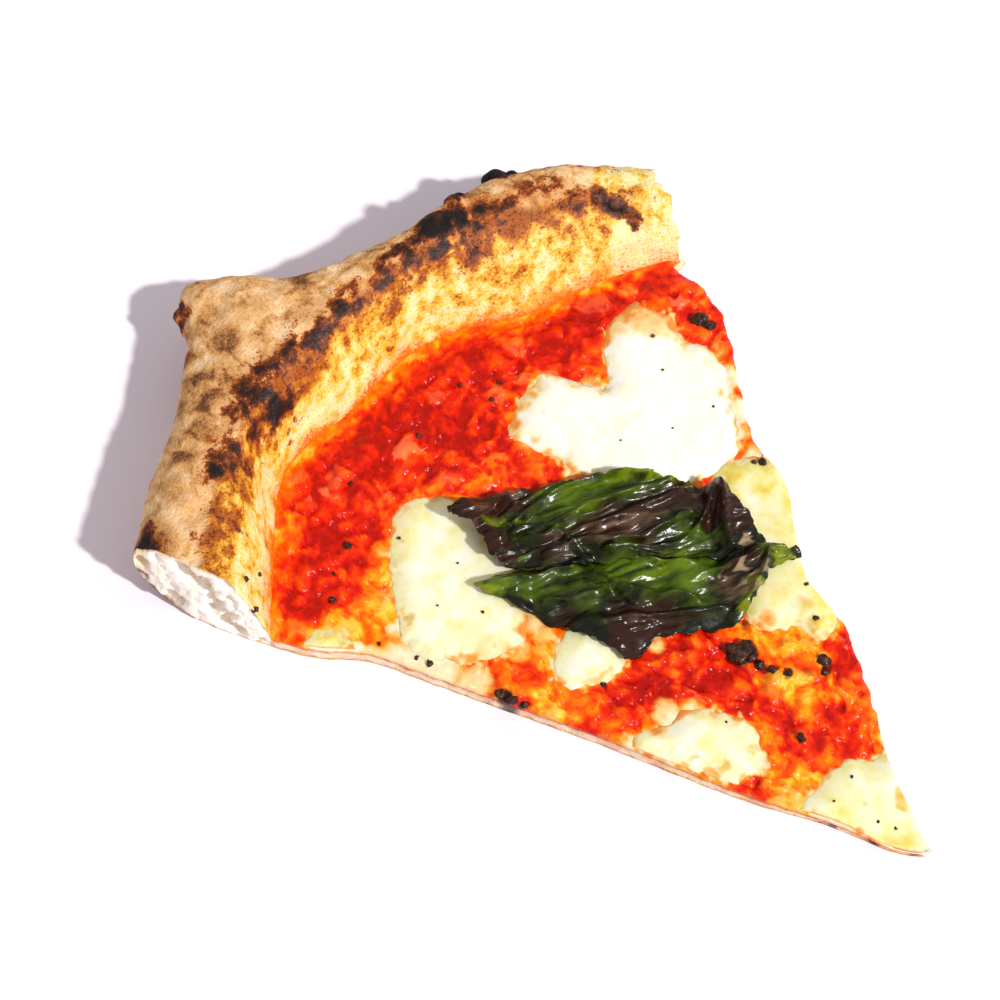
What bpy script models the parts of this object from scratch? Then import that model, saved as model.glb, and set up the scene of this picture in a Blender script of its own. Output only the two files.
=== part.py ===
"""A slice of Neapolitan cheese pizza, lying flat: a puffed rim on a thin base, tomato sauce that
runs from cut to cut, pools of melted mozzarella and two wilted basil leaves.

Every piece is a sheet with an upper and a lower surface over the same grid, closed by walls
round its border. The grids are laid out about the apex of the slice: a radius from the apex, an
angle from the slice's middle line, and a height. Lengths are in millimetres until a mesh is made.
"""

import bpy
import numpy as np

MM = 0.001
GAP = 0.3

# The wedge: its apex in the part's frame (the middle of the box is the origin) and its two cuts.
APEX = (-2.4, -90.7)
HALF_ANGLE = 26.2
TIP_RADIUS = 1.0
# (radius, how far the cut wanders inwards there)
LEFT_CUT = (
    (0, 1.3), (4, 0.1), (10, 0.0), (18, 0.8), (32, 0.4), (48, 1.2), (64, 2.3), (80, 2.9), (96, 3.5),
    (110, 3.7),
    (118, 1.4), (130, 0.8), (140, 1.2), (150, 2.4), (158, 3.2),
)
RIGHT_CUT = (
    (0, -0.9), (4, 0.1), (8, -0.2), (15, 0.3), (24, -0.5), (36, -2.0), (47, -2.5), (58, 0.6), (68, -0.8),
    (79, -3.3), (92, -1.5), (104, -3.0), (118, -5.8), (130, -4.6), (136, -1.6), (142, -2.6), (158, -2.6),
)

# The thin base.
BASE_AT_TIP = 1.2
BASE_AT_RIM = 2.9
BASE_GROWTH = 60.0
BASE_WAVE = 0.18

# The rim, as (angle, value): its inner foot, the ridge of its crown and its widest line.
RIM_FOOT = (
    (-26, 127.0), (-19, 134.5), (-13, 142.5), (-5, 142.0), (4, 143.5), (13, 137.5), (21, 138.5), (28, 138.5),
)
RIM_RIDGE = ((-26, 143.0), (-16, 149.0), (-8, 153.0), (1, 154.5), (10, 156.5), (19, 154.0), (28, 149.0))
RIM_WIDEST = (
    (-26, 155.5), (-19.5, 160.0), (-14, 165.5), (-10, 173.5), (-7, 182.5), (-4.8, 178.5),
    (-2.6, 170.0), (0, 165.5), (4, 162.5), (10.7, 162.5), (15.5, 163.5), (21, 159.5), (27.5, 153.5),
)
RIM_HEIGHT = ((-26, 22.0), (-16, 22.0), (-7, 21.0), (2, 21.5), (12, 21.5), (20, 19.5), (28, 16.0))
RIM_STEEPNESS = ((-26, 4.4), (-20, 3.2), (-12, 2.4), (10, 2.2), (27, 2.8))
WIDEST_HEIGHT = 14.0
WIDEST_BAND = 0.25
OUTER_ROUNDNESS = 2.3
UNDERCUT = 0.5
UNDERCUT_ROUNDNESS = 2.0

# Tomato sauce.
SAUCE_START = 7.0
SAUCE_THIN = 0.45
SAUCE_THICK = 1.2
SAUCE_SHORE = 9.0

# Melted mozzarella: (middle, thickness, edge sharpness, points round its edge).
MOZZARELLA = {
    "mozzarella_large": ((31, 101), 1.9, 5, (
        (9, 117), (22, 120), (30, 115), (36, 117), (43, 120), (50, 119), (51, 109), (51, 101),
        (44, 90), (39, 84), (30, 82), (21, 86), (12, 97), (10, 107))),
    "mozzarella_left": ((-26, 99), 1.7, 4, (
        (-27, 111), (-19, 118), (-12, 116), (-10, 108), (-11, 99), (-15, 91), (-20, 83),
        (-28, 81.5), (-34, 83.5), (-37.5, 88), (-38, 96), (-34, 103))),
    "mozzarella_small": ((-16, 69), 1.4, 3, (
        (-24, 71), (-17, 75), (-10, 74), (-9, 69), (-11, 65), (-18, 64))),
    "mozzarella_low": ((-14, 43), 1.7, 4, (
        (-22, 52), (-15, 52), (-8, 48), (-5, 42), (-7, 35), (-12, 33), (-16, 37), (-20, 45))),
    "mozzarella_tip": ((1.4, 12), 1.3, 6, (
        (-7, 21), (2, 22), (10, 20), (8, 14), (5, 8), (2, 2.5), (-1, 5), (-4, 12))),
    "mozzarella_right": ((26, 62), 1.6, 4, (
        (31, 80), (39, 79), (38, 72), (35, 66), (30, 58), (26, 53), (23, 46), (18, 43),
        (17, 49), (12, 54), (15, 62), (23, 75))),
    "mozzarella_drip": ((-49.5, 104.5), 1.2, 3, (
        (-52, 108), (-49, 108), (-46.5, 105), (-47, 101), (-50, 100.5), (-53, 103))),
}
EDGE_SHARE = 0.22
CUT_INSET = 0.5

# Basil: the two long margins of each leaf, from its left end to its right end.
LEAF_THICKNESS = 0.8
LEAF_CLEARANCE = 0.55
LEAF_SPREAD = 2.6
LOWER_LEAF_FAR = ((-21, 93.5), (-12, 91), (-2, 86), (7, 79), (15, 73), (22, 67), (27, 58))
LOWER_LEAF_NEAR = (
    (-22, 92), (-17, 81), (-14, 73), (-11, 64), (-2, 63), (7, 56), (15, 56.5), (21, 58), (27, 56),
)
UPPER_LEAF_FAR = ((-16, 108), (-9, 107), (-2, 104), (7, 99), (14, 95), (21, 87), (25, 80.5), (28, 79))
UPPER_LEAF_NEAR = ((-18, 96), (-13, 90), (-6, 85), (2, 79), (9, 73), (16, 67), (24, 62))
LOWER_FOLDS = 2.0
LOWER_FOLD_HEIGHT = 0.5
UPPER_FOLDS = 3.0
UPPER_FOLD_HEIGHT = 0.9
UPPER_ARCH = 1.6
LEFT_END_LIFT = 2.2

# Grid steps.
BASE_STEPS = 18
RIM_STEPS = 15
ACROSS_STEPS = 26
PAD_STEPS = 9
LEAF_STEPS = (18, 9)


def smooth_through(points, x):
    """Smooth curve through (x, y) points: cubic pieces that share their neighbours' slope."""
    px, py = np.array(points, float).T
    slope = np.gradient(py, px)
    x = np.clip(x, px[0], px[-1])
    i = np.clip(np.searchsorted(px, x) - 1, 0, len(px) - 2)
    width = px[i + 1] - px[i]
    t = (x - px[i]) / width
    ends = py[i] * (1 + 2 * t) * (1 - t) ** 2 + py[i + 1] * t * t * (3 - 2 * t)
    return ends + width * t * (1 - t) * (slope[i] * (1 - t) - slope[i + 1] * t)


def ease(t):
    """0 below 0, 1 above 1, and an S-curve between."""
    t = np.clip(t, 0.0, 1.0)
    return t * t * (3 - 2 * t)


# ---------------------------------------------------------------- the wedge


def cut_angle(r, side):
    """Angle of the left (-1) or right (+1) cut at radius r, in degrees."""
    inwards = smooth_through(LEFT_CUT if side < 0 else RIGHT_CUT, r)
    return side * (HALF_ANGLE - np.degrees(inwards / r))


def across(r, s, inset=0.0):
    """Angle at radius r of s, which runs from -1 at the left cut to +1 at the right cut."""
    spare = np.degrees(inset / r)
    left = cut_angle(r, -1) + spare
    right = cut_angle(r, 1) - spare
    return left + (right - left) * (s + 1) / 2


def from_apex(r, angle):
    """x, y of a radius and angle, measured from the apex."""
    return r * np.sin(np.radians(angle)), r * np.cos(np.radians(angle))


def to_polar(x, y):
    """Radius and angle of x, y measured from the apex."""
    return np.hypot(x, y), np.degrees(np.arctan2(x, y))


def keep_inside(x, y):
    """Moves points that lie past a cut back to just inside it."""
    r, angle = to_polar(x, y)
    r = np.maximum(r, TIP_RADIUS + CUT_INSET)
    return from_apex(r, np.clip(angle, across(r, -1, CUT_INSET), across(r, 1, CUT_INSET)))


# ---------------------------------------------------------------- heights


def base_top(r, angle):
    """Top of the thin base, which thickens from the tip and is a little wavy."""
    thickness = BASE_AT_TIP + (BASE_AT_RIM - BASE_AT_TIP) * ease(r / BASE_GROWTH)
    return thickness + BASE_WAVE * np.sin(r / 11.0) * np.cos(np.radians(angle * 6.0) + 0.6)


def dough_top(r, angle):
    """Base, then the rim's inner flank up to the ridge, then a superellipse down to the widest line."""
    foot = smooth_through(RIM_FOOT, angle)
    ridge = smooth_through(RIM_RIDGE, angle)
    widest = smooth_through(RIM_WIDEST, angle)
    height = smooth_through(RIM_HEIGHT, angle)
    base = base_top(r, angle)
    climb = np.clip((r - foot) / (ridge - foot), 0, 1)
    inner = base + (height - base) * (1 - (1 - climb) ** smooth_through(RIM_STEEPNESS, angle))
    reach = np.clip((r - ridge) / (widest - ridge), 0, 1)
    rim_edge = WIDEST_HEIGHT + WIDEST_BAND
    outer = rim_edge + (height - rim_edge) * np.sqrt(1 - reach ** OUTER_ROUNDNESS)
    return np.where(r > ridge, outer, inner)


def dough_under(r, angle):
    """Flat on the table, then curling up to the rim's widest line."""
    foot = smooth_through(RIM_FOOT, angle)
    widest = smooth_through(RIM_WIDEST, angle)
    lift_off = widest - UNDERCUT * (widest - foot)
    curl = np.clip((r - lift_off) / (widest - lift_off), 0, 1)
    return (WIDEST_HEIGHT - WIDEST_BAND) * (1 - np.sqrt(1 - curl ** UNDERCUT_ROUNDNESS))


def sauce_depth(r, angle):
    """Thickness of the sauce: thin at its two shores, near the tip and at the rim's foot."""
    shore = smooth_through(RIM_FOOT, angle) - r
    cover = ease((r - SAUCE_START) / SAUCE_SHORE) * ease(shore / SAUCE_SHORE)
    return SAUCE_THIN + (SAUCE_THICK - SAUCE_THIN) * cover


def sauce_top(r, angle):
    """Top of the sauce, one gap above the dough."""
    return base_top(r, angle) + GAP + sauce_depth(r, angle)


# ---------------------------------------------------------------- mozzarella


def edge_radius(name, turn):
    """Distance from a pool's middle to its edge, in the direction turn."""
    middle, _, _, edge = MOZZARELLA[name]
    dx, dy = (np.array(edge, float) - middle).T
    angle = np.arctan2(dy, dx)
    order = np.argsort(angle)
    angle, radius = angle[order], np.hypot(dx, dy)[order]
    # One lap more at each end makes the smooth curve close on itself.
    lap = 2 * np.pi
    angles = np.concatenate([angle - lap, angle, angle + lap])
    return smooth_through(np.stack([angles, np.tile(radius, 3)], 1), turn)


def pool_thickness(name, share):
    """Thickness where share is 0 at the pool's middle and 1 at its edge: flat, with a rounded edge."""
    _, thickness, sharpness, _ = MOZZARELLA[name]
    dome = np.sqrt(np.clip(1 - share ** sharpness, 0, 1))
    return thickness * (EDGE_SHARE + (1 - EDGE_SHARE) * dome)


def topping_top(x, y, spread=0.0):
    """Top of whatever lies at x, y: sauce, or mozzarella whose edges are moved out by spread."""
    top = sauce_top(*to_polar(x, y))
    cheese = np.zeros_like(top)
    for name, (middle, _, _, _) in MOZZARELLA.items():
        dx, dy = x - middle[0], y - middle[1]
        share = np.hypot(dx, dy) / (edge_radius(name, np.arctan2(dy, dx)) + spread)
        pool = (GAP + pool_thickness(name, np.minimum(share, 1))) * (share < 1)
        cheese = np.maximum(cheese, pool)
    return top + cheese


# ---------------------------------------------------------------- meshes


def make_material(name, colour, roughness):
    """A plain Principled material."""
    material = bpy.data.materials.new(name)
    material.use_nodes = True
    shader = material.node_tree.nodes["Principled BSDF"]
    shader.inputs["Base Color"].default_value = (*colour, 1.0)
    shader.inputs["Roughness"].default_value = roughness
    shader.inputs["Metallic"].default_value = 0.0
    material.diffuse_color = (*colour, 1.0)
    return material


def closed_sheet(name, x, y, lower, upper, material):
    """A closed solid between two heights over one grid, with walls round the grid's border.

    Seen from above, turning from the way the columns run to the way the rows run goes
    anticlockwise, so that all the faces point outwards.
    """
    rows, columns = x.shape
    count = rows * columns
    x, y = x + APEX[0], y + APEX[1]
    points = np.concatenate([
        np.stack([x, y, upper], -1).reshape(-1, 3),
        np.stack([x, y, lower], -1).reshape(-1, 3),
    ])
    index = np.arange(count).reshape(rows, columns)
    quads = np.stack([index[:-1, :-1], index[:-1, 1:], index[1:, 1:], index[1:, :-1]], -1).reshape(-1, 4)
    border = np.concatenate([index[0, :-1], index[:-1, -1], index[-1, :0:-1], index[:0:-1, 0]])
    onward = np.roll(border, -1)
    walls = np.stack([border, border + count, onward + count, onward], -1)
    faces = np.concatenate([quads, quads[:, ::-1] + count, walls])
    mesh = bpy.data.meshes.new(name)
    mesh.from_pydata((points * MM).tolist(), [], faces.tolist())
    mesh.shade_smooth()
    mesh.set_sharp_from_angle(angle=np.radians(50))
    mesh.materials.append(material)
    piece = bpy.data.objects.new(name, mesh)
    bpy.context.scene.collection.objects.link(piece)
    return piece


# ---------------------------------------------------------------- pieces


def base_grid():
    """Radii from the tip to the rim's foot, one column for each share s between the cuts."""
    s = np.linspace(-1, 1, ACROSS_STEPS + 1)[None, :]
    nominal = s * HALF_ANGLE
    foot = smooth_through(RIM_FOOT, nominal)
    radii = TIP_RADIUS + (foot - TIP_RADIUS) * np.linspace(0, 1, BASE_STEPS + 1)[:, None]
    return s, nominal, foot, radii


def make_dough():
    """Base and rim in one solid."""
    s, nominal, foot, base = base_grid()
    along = (1 - np.cos(np.linspace(0, np.pi, RIM_STEPS + 1)[1:, None])) / 2
    rim = foot + (smooth_through(RIM_WIDEST, nominal) - foot) * along
    radii = np.concatenate([base, rim])
    x, y = from_apex(radii, across(radii, s))
    lower = dough_under(radii, nominal)
    upper = dough_top(radii, nominal)
    return closed_sheet("dough", x, y, lower, upper, make_material("baked_dough", (0.72, 0.45, 0.22), 0.75))


def make_sauce():
    """The layer of tomato sauce, from near the tip to the rim's foot and from cut to cut."""
    s, nominal, _, base = base_grid()
    radii = base[1:]
    x, y = from_apex(radii, across(radii, s))
    lower = dough_top(radii, nominal) + GAP
    upper = lower + sauce_depth(radii, nominal)
    finish = make_material("tomato_sauce", (0.72, 0.06, 0.01), 0.35)
    return closed_sheet("tomato_sauce", x, y, lower, upper, finish)


def make_pool(name, material):
    """A pool of mozzarella: a square grid bent onto a disc, and the disc stretched to its edge."""
    middle = MOZZARELLA[name][0]
    step = np.linspace(-1, 1, PAD_STEPS + 1)
    u, v = np.meshgrid(step, step)
    disc_x, disc_y = u * np.sqrt(1 - v * v / 2), v * np.sqrt(1 - u * u / 2)
    share = np.hypot(disc_x, disc_y)
    reach = edge_radius(name, np.arctan2(disc_y, disc_x))
    x, y = keep_inside(middle[0] + disc_x * reach, middle[1] + disc_y * reach)
    lower = sauce_top(*to_polar(x, y)) + GAP
    return closed_sheet(name, x, y, lower, lower + pool_thickness(name, share), material)


def margin(points, t):
    """Point at share t of a smooth line through points, counted by their number."""
    steps = np.linspace(0, 1, len(points))
    px, py = np.array(points, float).T
    return smooth_through(np.stack([steps, px], 1), t), smooth_through(np.stack([steps, py], 1), t)


def leaf_grid(far, near):
    """x, y between a leaf's two margins, with the shares along and across it."""
    shares = [np.linspace(0, 1, count + 1) for count in LEAF_STEPS]
    t, w = np.meshgrid(*shares, indexing="ij")
    (fx, fy), (nx, ny) = margin(far, t), margin(near, t)
    return fx + (nx - fx) * w, fy + (ny - fy) * w, t, w


def lower_leaf_top(x, y, t, w):
    """Upper surface of the lower leaf: it drapes on the toppings in shallow folds."""
    folds = LOWER_FOLD_HEIGHT * (1 + np.sin(2 * np.pi * LOWER_FOLDS * w + 2.0 * t))
    return topping_top(x, y, LEAF_SPREAD) + LEAF_CLEARANCE + LEAF_THICKNESS + folds


def make_leaves():
    """Two basil leaves, the upper one folded lengthwise over the lower one."""
    lower_green = make_material("basil_leaf", (0.03, 0.10, 0.01), 0.35)
    upper_green = make_material("basil_leaf_dark", (0.03, 0.06, 0.01), 0.3)
    x, y, t, w = leaf_grid(LOWER_LEAF_FAR, LOWER_LEAF_NEAR)
    top = lower_leaf_top(x, y, t, w)
    closed_sheet("basil_leaf_lower", x, y, top - LEAF_THICKNESS, top, lower_green)
    x, y, t, w = leaf_grid(UPPER_LEAF_FAR, UPPER_LEAF_NEAR)
    support = topping_top(x, y, LEAF_SPREAD) + LEAF_CLEARANCE
    rise = LEAF_THICKNESS + LEAF_CLEARANCE + 2 * LOWER_FOLD_HEIGHT
    over_lower = ease((w - 0.25) / 0.4) * rise
    arch = UPPER_ARCH * np.sin(np.pi * w) * np.sin(np.pi * np.clip(t * 1.1, 0, 1))
    folds = UPPER_FOLD_HEIGHT * (1 + np.sin(2 * np.pi * UPPER_FOLDS * w + 1.2))
    lift = LEFT_END_LIFT * ease((0.3 - t) / 0.3)
    bottom = support + over_lower + arch + folds + lift
    closed_sheet("basil_leaf_upper", x, y, bottom, bottom + LEAF_THICKNESS, upper_green)


def main():
    for leftover in list(bpy.data.objects):
        bpy.data.objects.remove(leftover)
    make_dough()
    make_sauce()
    cheese = make_material("mozzarella", (0.95, 0.90, 0.72), 0.35)
    for name in MOZZARELLA:
        make_pool(name, cheese)
    make_leaves()


main()
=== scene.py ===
# %% [markdown]
# # A slice of margherita
# One slice of a wood-fired Neapolitan pizza, lying flat on a pale table in low sunlight. The real one
# is a thin disc of wheat dough with a puffed, blistered rim, a layer of crushed tomato, pools of melted
# mozzarella and basil that wilted in the oven. Every piece here is a surface worked out with numpy:
# a shape is written as a function of two parameters, evaluated on a whole grid at once, pushed in and
# out by noise, and put into a mesh. Colours start as masks on the vertices (how charred, how oily, how
# thin), and the shader nodes turn them into colour and add what is finer than the grid.

import bpy
import numpy as np
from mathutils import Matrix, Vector
from mathutils.bvhtree import BVHTree


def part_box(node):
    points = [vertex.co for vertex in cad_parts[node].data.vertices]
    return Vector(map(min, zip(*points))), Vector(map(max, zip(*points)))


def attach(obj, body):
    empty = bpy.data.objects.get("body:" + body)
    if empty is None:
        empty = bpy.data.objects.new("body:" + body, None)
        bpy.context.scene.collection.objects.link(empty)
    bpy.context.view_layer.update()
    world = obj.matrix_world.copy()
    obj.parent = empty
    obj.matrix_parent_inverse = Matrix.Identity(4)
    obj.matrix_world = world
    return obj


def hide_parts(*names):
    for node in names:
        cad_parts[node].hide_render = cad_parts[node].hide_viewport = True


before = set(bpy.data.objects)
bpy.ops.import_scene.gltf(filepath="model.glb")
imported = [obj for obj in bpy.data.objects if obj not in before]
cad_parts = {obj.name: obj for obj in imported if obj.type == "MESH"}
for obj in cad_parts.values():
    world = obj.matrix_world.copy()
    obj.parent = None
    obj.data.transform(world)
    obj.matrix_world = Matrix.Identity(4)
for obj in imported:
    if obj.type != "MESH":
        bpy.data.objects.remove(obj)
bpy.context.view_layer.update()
print("nodes:", ", ".join(sorted(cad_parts)))

# %% [markdown]
# ## Units and the wedge
# The frame is in metres with the slice's tip towards -Y. A slice is easier to describe from its apex:
# a radius in millimetres, and an angle from the middle line. The two cuts of a real slice are never
# straight, because the wheel wanders and the crust tears, so each cut is a smooth curve that says how
# far it lies inside a straight one at each radius.

# %% The wedge, from its apex
MM = 0.001
APEX = (-2.4, -90.7)
HALF_ANGLE = 26.2
TIP_RADIUS = 1.0
LEFT_CUT = (
    (0, 1.3), (4, 0.1), (10, 0.0), (18, 0.8), (32, 0.4), (48, 1.2), (64, 2.3), (80, 2.9),
    (96, 3.5), (110, 3.7), (118, 1.4), (130, 0.8), (140, 1.2), (150, 2.4), (158, 3.2),
)
RIGHT_CUT = (
    (0, -0.9), (4, 0.1), (8, -0.2), (15, 0.3), (24, -0.5), (36, -2.0), (47, -2.5), (58, 0.6),
    (68, -0.8), (79, -3.3), (92, -1.5), (104, -3.0), (118, -5.8), (130, -4.6), (136, -1.6),
    (142, -2.6), (158, -2.6),
)


def smooth_through(points, x):
    """Smooth curve through (x, y) points: cubic pieces that share their neighbours' slope."""
    px, py = np.array(points, float).T
    slope = np.gradient(py, px)
    x = np.clip(x, px[0], px[-1])
    i = np.clip(np.searchsorted(px, x) - 1, 0, len(px) - 2)
    width = px[i + 1] - px[i]
    t = (x - px[i]) / width
    ends = py[i] * (1 + 2 * t) * (1 - t) ** 2 + py[i + 1] * t * t * (3 - 2 * t)
    return ends + width * t * (1 - t) * (slope[i] * (1 - t) - slope[i + 1] * t)


def ease(t):
    """0 below 0, 1 above 1, and the S-curve 3t^2 - 2t^3 between."""
    t = np.clip(t, 0.0, 1.0)
    return t * t * (3 - 2 * t)


def cut_angle(r, side):
    """Angle in degrees of the left (-1) or right (+1) cut at radius r."""
    inwards = smooth_through(LEFT_CUT if side < 0 else RIGHT_CUT, r)
    return side * (HALF_ANGLE - np.degrees(inwards / r))


def across(r, s, inset=0.0):
    """Angle at radius r of the share s, from -1 at the left cut to +1 at the right cut."""
    spare = np.degrees(inset / r)
    left = cut_angle(r, -1) + spare
    right = cut_angle(r, 1) - spare
    return left + (right - left) * (s + 1) / 2


def from_apex(r, angle):
    """x and y of a radius and an angle, in millimetres from the apex."""
    return r * np.sin(np.radians(angle)), r * np.cos(np.radians(angle))


def to_polar(x, y):
    """Radius and angle of a point given from the apex."""
    return np.hypot(x, y), np.degrees(np.arctan2(x, y))


def keep_inside(x, y, inset):
    """Moves points that lie past a cut back to just inside it."""
    r, angle = to_polar(x, y)
    r = np.maximum(r, TIP_RADIUS + inset)
    return from_apex(r, np.clip(angle, across(r, -1, inset), across(r, 1, inset)))


dough_low, dough_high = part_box("dough")
print("slice:", [round(v / MM, 1) for v in dough_high - dough_low], "mm")

# %% [markdown]
# ## Noise
# Food has detail at many sizes at once. Gradient noise gives it: space is cut into cubes, every cube
# corner gets a pseudo-random direction, and a point's value blends how far it lies along each of its
# eight corners' directions. Adding the noise to itself at halved sizes gives fractal noise. Cell noise,
# the distance to the nearest of one random point per cube, gives bubbles and blisters. All of it is
# computed on whole arrays of points in millimetres, and a seed picks the pattern, so that every run
# gives the same pizza.

# %% Noise on arrays of points
_directions = np.random.default_rng(7).normal(size=(64, 3))
_directions /= np.linalg.norm(_directions, axis=1, keepdims=True)


def cell_number(cell, seed):
    """A whole number that looks random for each cube: its coordinates times large primes, mixed."""
    n = cell[..., 0] * 73856093 ^ cell[..., 1] * 19349663 ^ cell[..., 2] * 83492791 ^ seed * 9973
    n = ((n ^ (n >> 13)) & 0x7FFFFFFF) * 1274126177 & 0x7FFFFFFF
    return ((n ^ (n >> 15)) & 0x7FFFFFFF) * 668265263 >> 7 & 0xFFFFFF


def noise(p, size, seed=0):
    """Gradient noise about -1 to 1, with bumps about size millimetres apart."""
    q = p / size
    cell = np.floor(q).astype(np.int64)
    f = q - cell
    fade = f * f * f * (f * (f * 6 - 15) + 10)
    total = np.zeros(p.shape[:-1])
    for corner in np.ndindex(2, 2, 2):
        step = np.array(corner)
        direction = _directions[cell_number(cell + step, seed) % 64]
        weight = np.prod(np.where(step == 1, fade, 1 - fade), axis=-1)
        total += weight * ((f - step) * direction).sum(-1)
    return total * 1.7


def fractal(p, size, octaves=4, seed=0, keep=0.5):
    """Noise plus noise at each halved size, each octave keep times as strong as the last."""
    return sum(keep ** k * noise(p, size / 2 ** k, seed + 31 * k) for k in range(octaves))


def ridged(p, size, octaves=3, seed=0):
    """Sharp ridges: one minus the absolute value of noise, added at halved sizes."""
    return sum(0.5 ** k * (1 - 2 * np.abs(noise(p, size / 2 ** k, seed + 17 * k))) for k in range(octaves))


def cells(p, size, seed=0):
    """Distance to the nearest random point, as a share of size, with a number for that point."""
    q = p / size
    cell = np.floor(q).astype(np.int64)
    best = np.full(p.shape[:-1], 9.0)
    label = np.zeros(p.shape[:-1])
    for offset in np.ndindex(3, 3, 3):
        here = cell + np.array(offset) - 1
        centre = here + np.stack([cell_number(here, seed + k) / 0xFFFFFF for k in (1, 2, 3)], -1)
        far = np.linalg.norm(q - centre, axis=-1)
        closer = far < best
        best = np.where(closer, far, best)
        label = np.where(closer, cell_number(here, seed + 5) / 0xFFFFFF, label)
    return best, label


def blob(x, y, marks):
    """Strongest of soft round marks (x, y, radius, strength): full in the middle, 0 at the radius."""
    total = np.zeros(np.broadcast(x, y).shape)
    for mx, my, radius, strength in marks:
        total = np.maximum(total, strength * ease(1.4 * (1 - np.hypot(x - mx, y - my) / radius)))
    return total


# %% [markdown]
# ## From arrays to meshes
# Each piece ends as an array of points and an array of faces. Grids give quads; where a grid closes on
# one point, a quad has a corner twice and becomes a triangle. The masks go along as float attributes,
# one value for each vertex, which shader nodes can read by name.

# %% Mesh helpers
pieces = []


def without_doubles(quads):
    """Faces as lists; a quad with the same vertex twice in a row becomes a triangle."""
    same = quads == np.roll(quads, -1, axis=1)
    folded = quads[same.sum(1) == 1]
    order = (same[same.sum(1) == 1].argmax(1)[:, None] + np.array([1, 2, 3])) % 4
    return quads[~same.any(axis=1)].tolist() + np.take_along_axis(folded, order, 1).tolist()


def grid_quads(index):
    """Quads of a grid of vertex numbers whose rows run forwards and columns to the right."""
    return np.stack([index[:-1, :-1], index[:-1, 1:], index[1:, 1:], index[1:, :-1]], -1).reshape(-1, 4)


def surface_normals(p):
    """Unit normals of a grid of points, from the differences along its rows and columns."""
    along = np.gradient(p, axis=0)
    beside = np.gradient(p, axis=1)
    normal = np.cross(beside, along)
    return normal / np.maximum(np.linalg.norm(normal, axis=-1, keepdims=True), 1e-9)


def weld(points, quads, masks):
    """Merges points that coincide to a ten-thousandth of a millimetre, keeping the first one's masks."""
    _, first, same = np.unique(np.round(points, 4), axis=0, return_index=True, return_inverse=True)
    return points[first], same.ravel()[quads], {name: values[first] for name, values in masks.items()}


def make_piece(name, points, faces, material, replaces, masks):
    """A mesh object from points in millimetres about the apex, with its masks as attributes."""
    mesh = bpy.data.meshes.new(name)
    place = (points + np.array([*APEX, 0.0])) * MM
    mesh.from_pydata(place.tolist(), [], faces)
    mesh.shade_smooth()
    for mask, values in masks.items():
        layer = mesh.attributes.new(mask, "FLOAT", "POINT")
        layer.data.foreach_set("value", np.asarray(values, np.float32).ravel())
    mesh.materials.append(material)
    piece = bpy.data.objects.new(name, mesh)
    bpy.context.scene.collection.objects.link(piece)
    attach(piece, "root")
    if replaces:
        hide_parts(*replaces)
    pieces.append(piece)
    triangles = sum(len(f) - 2 for f in faces)
    print(f"{name}: {len(points)} vertices, {triangles} triangles")
    return piece


def closed_sheet(upper, lower):
    """Points and faces of a solid between two grids of points, with walls round the border.

    The upper grid's quads face up, the lower grid's are turned round to face down, and each wall quad
    joins two neighbours on the border to the two below them.
    """
    rows, columns = upper.shape[:2]
    count = rows * columns
    index = np.arange(count).reshape(rows, columns)
    quads = grid_quads(index)
    border = np.concatenate([index[0, :-1], index[:-1, -1], index[-1, :0:-1], index[:0:-1, 0]])
    onward = np.roll(border, -1)
    walls = np.stack([border, border + count, onward + count, onward], -1)
    faces = np.concatenate([quads, quads[:, ::-1] + count, walls]).tolist()
    return np.concatenate([upper.reshape(-1, 3), lower.reshape(-1, 3)]), faces

# %% [markdown]
# ## Colours and nodes
# A colour is written as the sRGB hex value that a screen shows, and turned into the linear value that
# the renderer wants in one place. Materials are small node trees, and one helper adds any node: it sets
# the node's own settings, fills its inputs with values or links, and hands back an output socket, so
# that calls can be nested the way a formula is.

# %% Colour and node helpers


def colour(code):
    """Linear RGBA of an sRGB hex code such as '#C8140A'."""
    share = np.array([int(code[i:i + 2], 16) for i in (1, 3, 5)]) / 255.0
    linear = np.where(share <= 0.04045, share / 12.92, ((share + 0.055) / 1.055) ** 2.4)
    return (*linear.tolist(), 1.0)


def add_node(tree, kind, inputs=None, get=0, stops=None, **settings):
    """Adds a node, fills its inputs with values or links, and returns its output named by get."""
    node = tree.nodes.new(kind)
    for key, value in settings.items():
        setattr(node, key, value)
    if stops:
        ramp = node.color_ramp
        for element, (position, code) in zip((ramp.elements[0], ramp.elements[-1]), (stops[0], stops[-1])):
            element.position, element.color = position, colour(code)
        for position, code in stops[1:-1]:
            ramp.elements.new(position).color = colour(code)
    for key, value in (inputs or {}).items():
        if isinstance(value, bpy.types.NodeSocket):
            tree.links.new(value, node.inputs[key])
        else:
            node.inputs[key].default_value = value
    return node.outputs[get] if node.outputs else node


def new_material(name):
    """An empty node material, and the Object coordinates its patterns are drawn on."""
    material = bpy.data.materials.new(name)
    material.use_nodes = True
    material.node_tree.nodes.clear()
    return material, material.node_tree, add_node(material.node_tree, "ShaderNodeTexCoord", get="Object")


def per_metre(size):
    """Scale of a noise texture whose spots are size millimetres apart."""
    return 1.0 / (size * MM)


def finish_material(material, shader):
    """Joins a shader to the material's output."""
    add_node(material.node_tree, "ShaderNodeOutputMaterial", {"Surface": shader})
    return material


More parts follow.
